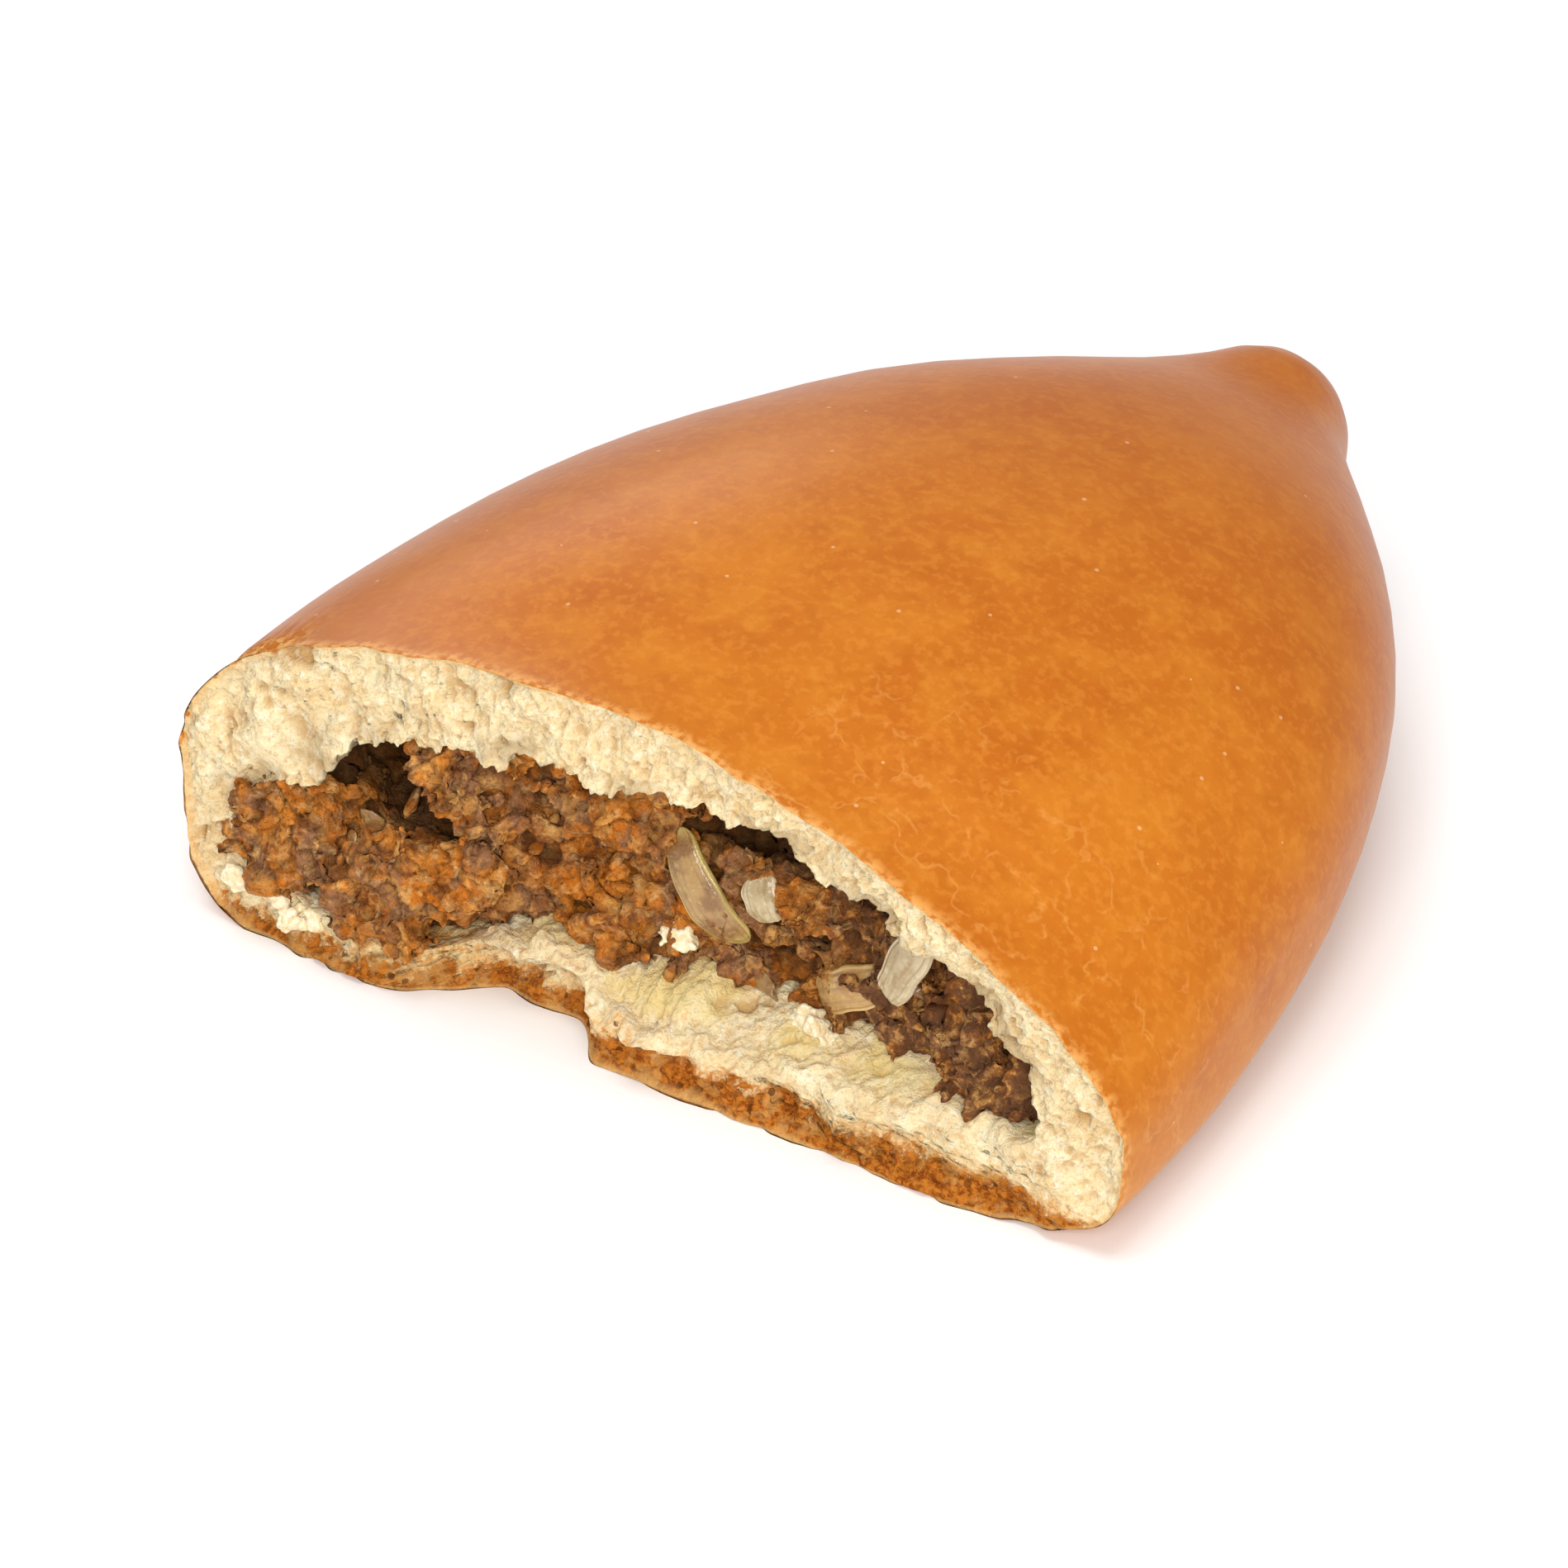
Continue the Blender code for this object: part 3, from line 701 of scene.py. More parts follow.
def ball_points(subdivisions):
    """Points and triangles of a ball of radius 1."""
    shape = bmesh.new()
    bmesh.ops.create_icosphere(shape, subdivisions=subdivisions, radius=1.0)
    points = np.array([vert.co[:] for vert in shape.verts])
    faces = np.array([[vert.index for vert in face.verts] for face in shape.faces])
    shape.free()
    return points, faces


def random_turns(count, draw):
    """Random rotation matrices (count, 3, 3)."""
    q = draw.normal(size=(count, 4))
    w, x, y, z = (q / np.linalg.norm(q, axis=1, keepdims=True)).T
    rows = [
        [1 - 2 * (y * y + z * z), 2 * (x * y - z * w), 2 * (x * z + y * w)],
        [2 * (x * y + z * w), 1 - 2 * (x * x + z * z), 2 * (y * z - x * w)],
        [2 * (x * z - y * w), 2 * (y * z + x * w), 1 - 2 * (x * x + y * y)],
    ]
    return np.array(rows).transpose(2, 0, 1)


CRISPNESS = 9.0  # how sharply the cut planes of rubble meet


def rubble(places, radii, stretch, turns, subdivisions, facets, dents, draw, pattern):
    """Angular crumbs: each is a ball cut back by several random flat planes, softened where
    they meet, stretched, turned, and dented by smooth noise of two sizes."""
    ball, faces = ball_points(subdivisions)
    count = len(places)
    planes = draw.normal(size=(count, facets, 3))
    planes /= np.linalg.norm(planes, axis=-1, keepdims=True)
    offsets = draw.uniform(0.5, 1.0, size=(count, facets))
    facing = np.maximum(np.einsum("vi,kfi->kvf", ball, planes), 0.05)
    cut = offsets[:, None, :] / facing
    reach = (np.sum(cut**-CRISPNESS, axis=-1) + 1.0) ** (-1.0 / CRISPNESS)
    shapes = ball[None] * reach[..., None] * stretch[:, None, :] * radii[:, None, None]
    shapes = np.einsum("kij,kvj->kvi", turns, shapes)
    placed = shapes + places[:, None, :]
    rough = 1.0 + layers_of(placed, (1.1, dents, pattern), (0.5, 0.6 * dents, pattern + 1))
    placed = places[:, None, :] + shapes * rough[..., None]
    step = np.arange(count)[:, None, None] * len(ball)
    return placed.reshape(-1, 3), (faces[None] + step).reshape(-1, 3)


def in_hollow(x, z, share):
    """Whether each place lies within that share of a hollow's reach."""
    inside = np.zeros(len(x), bool)
    for hollow_x, hollow_z, reach, _ in HOLLOWS:
        inside |= (x - hollow_x) ** 2 + (z - hollow_z) ** 2 < (share * reach) ** 2
    return inside


def mouth_share(x, z):
    """0 at the middle of the mouth, 1 at the wall of the hollow, measured along the bearing."""
    middle_x, _, middle_z = MOUTH_CENTRE
    angle = np.arctan2(z - middle_z, x - middle_x)
    edge = cavity_points(4.0, angle, GAP)
    reach = np.hypot(edge[:, 0] - middle_x, edge[:, 2] - middle_z)
    return np.hypot(x - middle_x, z - middle_z) / reach


def scatter(count, draw, most):
    """Random places over the front of the mince, up to a share of the way out to the wall."""
    x = draw.uniform(-32.0, 32.0, size=count * 4)
    z = draw.uniform(3.0, 23.0, size=count * 4)
    keep = mouth_share(x, z) < most
    return x[keep][:count], z[keep][:count]


# Lumps that stand out at the front: x, z, radius, width, height, how far it stands out
NOTED_LUMPS = (
    (-28.4, 6.4, 3.3, 1.0, 0.9, 1.2),
    (-24.6, 11.6, 2.2, 0.9, 1.1, 0.6),
    (-23.0, 6.0, 2.8, 1.1, 0.9, 0.9),
    (-17.4, 16.6, 1.6, 0.8, 1.3, 0.3),
    (-30.0, 9.2, 2.7, 0.9, 1.1, 0.9),
    (-30.0, 5.2, 2.0, 0.9, 1.0, 0.9),
    (-27.4, 11.6, 2.0, 1.0, 1.0, 0.7),
    (-14.6, 17.2, 2.7, 1.1, 1.0, 0.8),
    (-18.2, 8.2, 2.9, 1.0, 1.0, 0.8),
    (-14.6, 10.4, 2.4, 1.2, 0.8, 0.5),
    (-11.0, 14.4, 2.4, 1.3, 0.8, 0.0),
    (-21.8, 4.4, 2.2, 1.1, 0.9, 1.5),
    (-18.2, 4.0, 2.3, 1.2, 0.8, 1.5),
    (-25.8, 8.8, 2.6, 1.1, 1.0, 1.0),
    (-16.2, 7.0, 2.2, 1.0, 1.0, 0.9),
    (-3.2, 7.4, 2.3, 1.2, 0.8, 0.5),
    (4.4, 7.0, 2.3, 1.2, 0.8, 0.4),
    (16.8, 6.6, 2.4, 1.1, 0.8, 0.5),
    (-5.8, 16.4, 2.8, 1.1, 1.1, 1.2),
    (-7.6, 10.6, 2.6, 1.2, 0.9, 0.8),
    (-0.6, 18.6, 2.3, 1.2, 0.8, 0.8),
    (5.2, 14.8, 2.3, 1.1, 0.8, 0.6),
    (10.2, 14.2, 3.0, 1.2, 0.9, 0.9),
    (11.6, 8.0, 2.5, 1.1, 0.9, 0.0),
    (22.6, 9.2, 3.5, 1.0, 0.9, 0.8),
    (27.2, 7.8, 2.0, 1.0, 1.0, 0.8),
)
# Fields of random lumps: count, least and greatest radius, how deep they sink, how far out
# towards the wall, and how much of each hollow is left free
LUMP_FIELDS = ((95, 1.8, 3.6, 1.3, 1.03, 1.2), (130, 0.8, 1.6, 0.7, 1.02, 0.95))
LUMP_STRETCH = ((0.8, 1.3), (0.5, 0.9), (0.7, 1.1))
DEEPEN = 2.4  # how many times deeper the hollows run back than those of the solid
CORE_DEEPEN = 2.6
CORE_BEHIND = 3.2
SLAB_BEHIND = 1.4
SLAB_THICKNESS = 3.2
MINCE_CELL = 0.26
FLAKE_CELL = 0.14


def disc(edge, rings):
    """Rings of points from the middle of the mouth out to an edge, evenly spaced."""
    share = ring_shares(rings)[..., None]
    return MOUTH_CENTRE + (edge[None] - MOUTH_CENTRE) * share


def make_mince_core():
    """The body of the filling: a full-length closed form inside the hollow of the dough. Its
    front runs out from the middle in rings, a little behind the crumbled mince and roughened
    by smooth noise of two sizes, and its wall follows the hollow to the far end."""
    around, front_rings, wall_rings = 200, 40, 24
    turn = np.linspace(-math.pi, math.pi, around, endpoint=False)

    def front_depth(x, z):
        return mince_plane(x, z) + CORE_DEEPEN * hollow_depth(x, z) + CORE_BEHIND

    edge_y = np.full(around, 6.0)
    for _ in range(4):
        edge = cavity_points(edge_y, turn, GAP)
        edge_y = front_depth(edge[:, 0], edge[:, 2])
    front = disc(cavity_points(edge_y, turn, GAP), front_rings)
    front[..., 1] = front_depth(front[..., 0], front[..., 2])
    relief = layers_of(stirred(front, 2.0, 0.6, 111), (1.6, 0.9, 113), (0.8, 0.4, 115))
    share = ring_shares(front_rings)
    front[..., 1] += relief * (1 - share**8)
    share = ring_shares(wall_rings)
    y = edge_y[None] + (CAVITY_LENGTH - edge_y)[None] * np.sin(share * math.pi / 2)
    wall = cavity_points(y, turn, GAP)
    grid = np.concatenate([front, wall])
    # The whole core counts as sunk far back, so its colour takes the full painted shade of the
    # hollows.
    sunk = np.full(grid.shape[:2], 5.0)
    return closed_grid("mince_core", grid, {"sunk": sunk, "crevice": 0 * sunk})


def turns_about(axis, angle):
    """Rotation matrices about x, y or z (0, 1 or 2), one for each angle."""
    one, two = (axis + 1) % 3, (axis + 2) % 3
    turns = np.zeros((len(angle), 3, 3))
    turns[:, axis, axis] = 1.0
    turns[:, one, one] = turns[:, two, two] = np.cos(angle)
    turns[:, two, one] = np.sin(angle)
    turns[:, one, two] = -np.sin(angle)
    return turns


def facing_turns(count, draw, tilt):
    """Rotations that spin a lump about the line of sight and tip it a little."""
    spin = draw.uniform(0, 2 * math.pi, size=count)
    tip = draw.normal(0, tilt, size=(count, 2))
    return turns_about(0, tip[:, 0]) @ turns_about(2, tip[:, 1]) @ turns_about(1, spin)


def mince_lumps(draw):
    """Points and triangles of the lumps at the front of the mince: the noted ones, then two
    random fields, each a shell of rubble on the crags of the front."""
    x, z, radii, wide, high, out = np.array(NOTED_LUMPS).T
    places = np.stack([x, mince_plane(x, z) + 0.45 * radii - out, z], axis=-1)
    stretch = np.stack([wide, np.full(len(x), 0.8), high], axis=-1)
    fields = [(places, radii, stretch, np.broadcast_to(np.eye(3), (len(x), 3, 3)), 4)]
    for count, low, high, sink, most, free in LUMP_FIELDS:
        x, z = scatter(count, draw, most)
        under_flap = np.hypot(x - FLAP[0], z - FLAP[1]) < FLAP[2] + 1.0
        under_flap |= (np.abs(x + 21.0) < 4.0) & (z > 15.5)
        kept = ~in_hollow(x, z, free) & ~(under_flap & (mouth_share(x, z) > 0.84))
        x, z = x[kept], z[kept]
        radii = draw.uniform(low, high, size=len(x))
        y = mince_depth(x, z, DEEPEN) + sink * draw.uniform(0.2, 1.4, size=len(x))
        stretch = [draw.uniform(*span, size=len(x)) for span in LUMP_STRETCH]
        places, stretch = np.stack([x, y, z], axis=-1), np.stack(stretch, axis=-1)
        fields.append((places, radii, stretch, facing_turns(len(x), draw, 0.5), 3))
    points, faces, start = [], [], 0
    for places, radii, stretch, turns, subdivisions in fields:
        cloud, shells = rubble(places, radii, stretch, turns, subdivisions, 7, 0.32, draw, 121)
        points.append(cloud)
        faces.append(shells + start)
        start += len(cloud)
    return np.concatenate(points), np.concatenate(faces)


def joined(name, *parts):
    """One object from several, whose meshes are put together."""
    shape = bmesh.new()
    for part in parts:
        shape.from_mesh(part.data)
    mesh = bpy.data.meshes.new(name)
    shape.to_mesh(mesh)
    shape.free()
    for part in parts:
        bpy.data.objects.remove(part)
    return show(name, mesh)


def fuse(piece, voxel):
    """Fuses overlapping shells of a piece into one closed surface on a fine grid of cells."""
    remesh = piece.modifiers.new("fuse", "REMESH")
    remesh.mode = "VOXEL"
    remesh.voxel_size = voxel * MM
    graph = bpy.context.evaluated_depsgraph_get()
    fused = bpy.data.meshes.new_from_object(piece.evaluated_get(graph))
    piece.modifiers.clear()
    piece.data = fused


def points_of(piece):
    """The points and the outward normals of a piece, in the half's own frame."""
    mesh = piece.data
    values = np.zeros((2, len(mesh.vertices) * 3), np.float32)
    mesh.vertices.foreach_get("co", values[0])
    mesh.vertices.foreach_get("normal", values[1])
    place, normal = values.reshape(2, -1, 3).astype(float)
    return place / MM - TEAR_MIDDLE, normal


def set_points(piece, place):
    """Puts the points of a piece back and makes it smooth."""
    mesh = piece.data
    mesh.vertices.foreach_set("co", in_frame(place))
    mesh.polygons.foreach_set("use_smooth", np.ones(len(mesh.polygons), bool))
    mesh.update()


def make_mince_front():
    """The crumbled front of the filling: several hundred angular lumps over a thin slab, fused
    on a fine grid of cells. Bubbles of two sizes then part it into grains, each moved along
    the normals by a number of its own with a crevice between them, and smooth noise of two
    sizes frays it."""
    draw = np.random.default_rng(12)
    cloud, shells = mince_lumps(draw)
    lumps = mesh_from("lumps", cloud, triangles=shells)

    around, slab_rings = 160, 30
    turn = np.linspace(-math.pi, math.pi, around, endpoint=False)
    face = disc(cavity_points(5.0, turn, 0.2), slab_rings)
    face[..., 1] = mince_depth(face[..., 0], face[..., 2], DEEPEN) + SLAB_BEHIND
    rear = face[::-1].copy()
    rear[..., 1] += SLAB_THICKNESS
    slab = closed_grid("slab", np.concatenate([face, rear]))

    piece = joined("mince_front", slab, lumps)
    fuse(piece, MINCE_CELL)
    place, normal = points_of(piece)
    loose = stirred(place, 1.6, 0.5, 131)
    nearest, second, mark = bubbles(loose, 2.0, 141)
    crevice = 1.0 - np.clip((second - nearest) / 0.16, 0.0, 1.0)
    relief = 0.42 * mark - 0.34 * crevice
    nearest, second, mark = bubbles(loose, 0.85, 151)
    small = 1.0 - np.clip((second - nearest) / 0.20, 0.0, 1.0)
    relief = relief + 0.08 * mark - 0.08 * small
    relief = relief + layers_of(stirred(place, 0.8, 0.3, 165), (0.9, 0.24, 161), (0.48, 0.22, 163))
    place = place + normal * (relief - 0.24)[:, None]
    place[:, 1] = np.maximum(place[:, 1], FRONT_LIMIT)
    place[:, 2] = np.maximum(place[:, 2], 0.3)
    set_points(piece, place)
    # How far the front lies back and where its crevices run, for the painted shade of the material.
    sunk = place[:, 1] - mince_plane(place[:, 0], place[:, 2])
    add_marks(piece.data, {"sunk": sunk, "crevice": np.maximum(crevice, 0.4 * small)})
    return piece


# Onion, loose bits and flakes

ONION_TOOTH = ("onion_tooth", 6.6, 13.8, 1.3, 3.4, 2.6, -70.0, 60.0)
# How blunt the ends are, the share of the width that is kept, and how far each sinks in
ONION_CUTS = {
    "onion_petal_slice": (0.15, 0.58, 0.6),
    "onion_chunk_slice": (0.85, 0.80, 0.0),
    "onion_fan_slice": (0.45, 0.70, 0.8),
    "onion_tooth": (0.55, 1.0, -0.4),
}


def onion_plate(name, piece):
    """A thin curved petal: a flattened tube of rings that tapers to both ends, finely ribbed
    along its length and bent along it."""
    _, x, z, stand, length, width, turn, bend = piece
    bluntness, narrow, sink = ONION_CUTS[name]
    rings, around = 60, 48
    end = np.sin(np.linspace(-math.pi / 2, math.pi / 2, rings + 2)[1:-1])[:, None]
    turn_round = np.linspace(0, 2 * math.pi, around, endpoint=False)[None]
    across = np.sign(np.cos(turn_round)) * np.abs(np.cos(turn_round)) ** 0.7
    out = np.sign(np.sin(turn_round)) * np.abs(np.sin(turn_round)) ** 0.8
    taper = bluntness + (1 - bluntness) * np.sqrt(1 - 0.95 * end**2)
    closing = (1 - np.abs(end) ** (6 + 14 * bluntness)) ** 0.5
    ribs = 1 + 0.16 * np.cos(across * 26.0)
    wavy = 0.92 + 0.05 * np.sin(end * 7 + across)
    v = across * narrow * width / 2 * taper * closing * wavy
    thick = out * ONION_THICKNESS / 2 * taper * closing * ribs * 0.6
    bend = math.radians(bend)
    radius = length / bend
    angle = end * bend / 2 * 0.95 + 0 * out
    u = np.sin(angle) * (radius - thick)
    w = radius - np.cos(angle) * (radius - thick) + 0.25 * v
    tilt = math.radians(turn)
    depth = float(mince_depth(np.array([x]), np.array([z]))[0])
    c, s = math.cos(tilt), math.sin(tilt)
    grid = np.stack([x + u * c - v * s, depth - stand + sink + w, z + u * s + v * c], axis=-1)
    grid = stirred(grid, 1.8, 0.14, 171)
    edge = np.broadcast_to(np.maximum(np.abs(across), np.abs(end)), grid.shape[:2])
    strand = 0.5 + 0.5 * np.cos(across * 19.0 + 3.0 * swell(grid, 2.2, 176))
    return closed_grid(name, grid, {"edge": edge, "strand": strand})


# Loose bits: count, radii, stretch each way, how far forward, cuts, seed, fineness, and how much
# of each hollow is left free
CHUNKY = ((0.6, 1.7), (0.4, 0.9), (0.5, 1.1))
FLAT = ((0.9, 1.7), (0.25, 0.4), (0.6, 1.1))
BITS = {
    "mince_crumbs": (170, (0.35, 0.9), CHUNKY, -0.5, 7, 21, 2, 1.1),
    "onion_bits": (11, (0.55, 1.15), FLAT, 0.0, 5, 25, 3, 1.3),
}


def make_bits(name):
    """Many small loose bits of one kind in one mesh, shells of rubble that are scattered over
    the front of the mince and bedded on its softened crags."""
    count, radius, stretch, forward, facets, seed, fineness, free = BITS[name]
    draw = np.random.default_rng(seed)
    x, z = scatter(count, draw, 0.95)
    kept = ~in_hollow(x, z, free)
    x, z = x[kept], z[kept]
    radii = draw.uniform(*radius, size=len(x))
    y = mince_depth(x, z, DEEPEN, 0.6) - forward
    sizes = np.stack([draw.uniform(*span, size=len(x)) for span in stretch], axis=-1)
    turns = random_turns(len(x), draw)
    places = np.stack([x, y, z], axis=-1)
    pattern = seed + 200
    cloud, shells = rubble(places, radii, sizes, turns, fineness, facets, 0.35, draw, pattern)
    return mesh_from(name, cloud, triangles=shells)


# Clusters of loose white crumb: x, y, z, spread, count, radius of the largest
FLAKE_CLUSTERS = (
    (10.6, 4.6, 5.9, 0.8, 16, 0.9),
    (0.6, 4.4, 9.0, 0.6, 12, 0.8),
    (-26.5, 0.9, 2.6, 1.3, 16, 0.9),
    (-31.2, 0.6, 3.6, 0.7, 10, 0.8),
)


def make_flakes():
    """Loose flakes of white crumb: small angular shells in a few clusters, each cluster fused
    to ragged clumps and roughened along its normals by smooth noise of two sizes."""
    draw = np.random.default_rng(23)
    clusters = np.array(FLAKE_CLUSTERS)
    which = np.repeat(np.arange(len(clusters)), clusters[:, 4].astype(int))
    middle, spread = clusters[which, :3], clusters[which, 3:4]
    places = middle + draw.normal(size=(len(which), 3)) * spread * np.array([0.75, 0.3, 0.35])
    places[:, 1] = np.maximum(places[:, 1], -0.3)
    places[:, 2] = np.maximum(places[:, 2], 1.2)
    radii = clusters[which, 5] * draw.uniform(0.35, 1.0, size=len(which))
    sizes = draw.uniform(0.35, 1.25, size=(len(which), 3))
    turns = random_turns(len(which), draw)
    cloud, shells = rubble(places, radii, sizes, turns, 4, 6, 0.55, draw, 261)
    piece = mesh_from("crumb_flakes", cloud, triangles=shells)
    fuse(piece, FLAKE_CELL)
    place, normal = points_of(piece)
    relief = layers_of(place, (0.5, 0.16, 265), (0.28, 0.12, 266))
    set_points(piece, place + normal * relief[:, None])
    return piece


# Materials


class Graph:
    """Makes and joins nodes in one node tree."""

    def __init__(self, tree):
        self.tree = tree

    def add(self, kind, inputs=None, **settings):
        node = self.tree.nodes.new(kind)
        for key, value in settings.items():
            setattr(node, key, value)
        self.feed(node, inputs or {})
        return node

    def feed(self, node, inputs):
        """Joins each input that is given to a socket or sets it to a value. A tuple that
        starts with a socket stands for a smooth step, as the arguments of span."""
        for key, value in inputs.items():
            socket = node.inputs[key]
            if isinstance(value, tuple) and isinstance(value[0], bpy.types.NodeSocket):
                value = self.span(*value)
            if isinstance(value, bpy.types.NodeSocket):
                self.tree.links.new(value, socket)
            elif socket.type == "RGBA":
                socket.default_value = (*value, 1.0)
            else:
                socket.default_value = value

    def math(self, operation, a, b):
        return self.add("ShaderNodeMath", {0: a, 1: b}, operation=operation).outputs[0]

    def times(self, a, b):
        return self.math("MULTIPLY", a, b)

    def ranged(self, value, low, high, least, most, kind="LINEAR"):
        """least at low and before, most at high and after, and a change of that kind between."""
        rows = {"Value": value, "From Min": low, "From Max": high, "To Min": least, "To Max": most}
        return self.add("ShaderNodeMapRange", rows, interpolation_type=kind).outputs["Result"]

    def span(self, value, low, high, least=0.0, most=1.0):
        """A smooth step, falling where low is more than high."""
        return self.ranged(value, low, high, least, most, "SMOOTHSTEP")

    def mix(self, share, a, b):
        """Mixes two colours. Inputs 6 and 7 and output 2 of the node are its colours."""
        return self.add("ShaderNodeMix", {0: share, 6: a, 7: b}, data_type="RGBA").outputs[2]

    def tint(self, colour, *rows):
        """Lays tints over a colour in turn, from rows of mask, amount and tint."""
        for mask, amount, over in rows:
            colour = self.mix(self.times(mask, amount), colour, over)
        return colour

    def noise(self, where, size_mm, detail=3.0, roughness=0.55, distortion=0.0):
        rows = {"Vector": where, "Scale": 1.0 / (size_mm * MM), "Detail": detail}
        rows |= {"Roughness": roughness, "Distortion": distortion}
        return self.add("ShaderNodeTexNoise", rows).outputs[0]

    def mark(self, name):
        """A number that the mesh holds for each point."""
        return self.add("ShaderNodeAttribute", attribute_name=name).outputs["Fac"]

    def bump(self, shader, height, distance_mm, strength):
        """Feeds the shader's normal from a height."""
        rows = {"Height": height, "Distance": distance_mm * MM, "Strength": strength}
        self.feed(shader, {"Normal": self.add("ShaderNodeBump", rows).outputs["Normal"]})


def new_material(name):
    """A material with its graph, its shader and the place on the object."""
    made = bpy.data.materials.new(name)
    made.use_nodes = True
    graph = Graph(made.node_tree)
    shader = made.node_tree.nodes["Principled BSDF"]
    where = graph.add("ShaderNodeTexCoord").outputs["Object"]
    return made, graph, shader, where


def specks_group():
    """Small round specks at scattered places: the mask is 1 inside a speck. Only a share of
    the places, set by Amount, holds one."""
    tree = bpy.data.node_groups.new("specks", "ShaderNodeTree")
    tree.interface.new_socket("Where", in_out="INPUT", socket_type="NodeSocketVector")
    for name in ("Spacing", "Size", "Amount"):
        tree.interface.new_socket(name, in_out="INPUT", socket_type="NodeSocketFloat")
    tree.interface.new_socket("Mask", in_out="OUTPUT", socket_type="NodeSocketFloat")
    graph = Graph(tree)
    source = graph.add("NodeGroupInput")
    result = graph.add("NodeGroupOutput")
    scale = graph.math("DIVIDE", 1000.0, source.outputs["Spacing"])
    rows = {"Vector": source.outputs["Where"], "Scale": scale}
    cells = graph.add("ShaderNodeTexVoronoi", rows)
    near = graph.math("LESS_THAN", cells.outputs["Distance"], source.outputs["Size"])
    parts = graph.add("ShaderNodeSeparateColor", {"Color": cells.outputs["Color"]})
    chosen = graph.math("LESS_THAN", parts.outputs[0], source.outputs["Amount"])
    graph.feed(result, {"Mask": graph.times(near, chosen)})
    return tree


SPECKS = specks_group()


def use_specks(graph, where, spacing, size, amount):
    """A mask of specks, from their spacing in millimetres, their size and their share."""
    rows = {"Where": where, "Spacing": spacing, "Size": size, "Amount": amount}
    return graph.add("ShaderNodeGroup", rows, node_tree=SPECKS).outputs["Mask"]


def crack_lines(graph, where, spacing, width):
    """1 along thin wandering lines that part cells of that spacing in millimetres."""
    stir = graph.add("ShaderNodeTexNoise", {"Vector": where, "Scale": 400.0, "Detail": 3.0})
    moved = stir.outputs["Color"]
    steps = (("SUBTRACT", 1, (0.5, 0.5, 0.5)), ("SCALE", "Scale", 0.004), ("ADD", 1, where))
    for operation, socket, value in steps:
        rows = {0: moved, socket: value}
        moved = graph.add("ShaderNodeVectorMath", rows, operation=operation).outputs[0]
    rows = {"Vector": moved, "Scale": 1000.0 / spacing}
    cells = graph.add("ShaderNodeTexVoronoi", rows, feature="DISTANCE_TO_EDGE")
    return graph.span(cells.outputs["Distance"], 0.0, width, 1.0, 0.0)


def crust_colour(graph, where, place, mark, noises):
    """Golden brown crust: broad and fine mottling, darker far back and on the left flank,
    paler low down and along the tear, with thin cracks, specks and a skinned patch."""
    middle, patch, fine = noises[:3]
    x, y, z = place
    broad = graph.noise(where, 15.0, 3.0)
    crust = graph.mix((broad, 0.3, 0.7), (0.47, 0.120, 0.005), (0.54, 0.160, 0.009))
    near = graph.times((x, 0.002, 0.010), (y, -0.028, -0.016, 1.0, 0.0))
    near = graph.times(near, (patch, 0.48, 0.58))
    cracks = graph.times(crack_lines(graph, where, 4.2, 0.05), near)
    light = use_specks(graph, where, 2.2, 0.07, 0.35)
    dark = use_specks(graph, where, 6.5, 0.045, 0.22)
    thin = graph.times((mark["crust_depth"], -1.3, 0.0), (fine, 0.36, 0.60))
    crust = graph.tint(
        crust,
        ((middle, 0.42, 0.68), 0.45, (0.60, 0.205, 0.015)),
        ((patch, 0.48, 0.66), 0.22, (0.37, 0.085, 0.003)),
        ((fine, 0.46, 0.66), 0.32, (0.68, 0.250, 0.030)),
        ((y, -0.020, 0.030), 0.45, (0.42, 0.100, 0.004)),
        ((x, -0.012, -0.028), 0.40, (0.36, 0.082, 0.006)),
        (cracks, 0.25, (0.84, 0.40, 0.10)),
        (light, 0.4, (0.85, 0.55, 0.30)),
        (dark, 0.7, (0.10, 0.03, 0.01)),
        ((z, 0.001, 0.010, 1.0, 0.0), 0.6, (0.70, 0.29, 0.045)),
        (thin, 0.7, (0.82, 0.42, 0.12)),
    )
    skinned = graph.mix((fine, 0.40, 0.62), (0.50, 0.150, 0.018), (0.78, 0.42, 0.14))
    return graph.mix(mark["flayed"], crust, skinned)


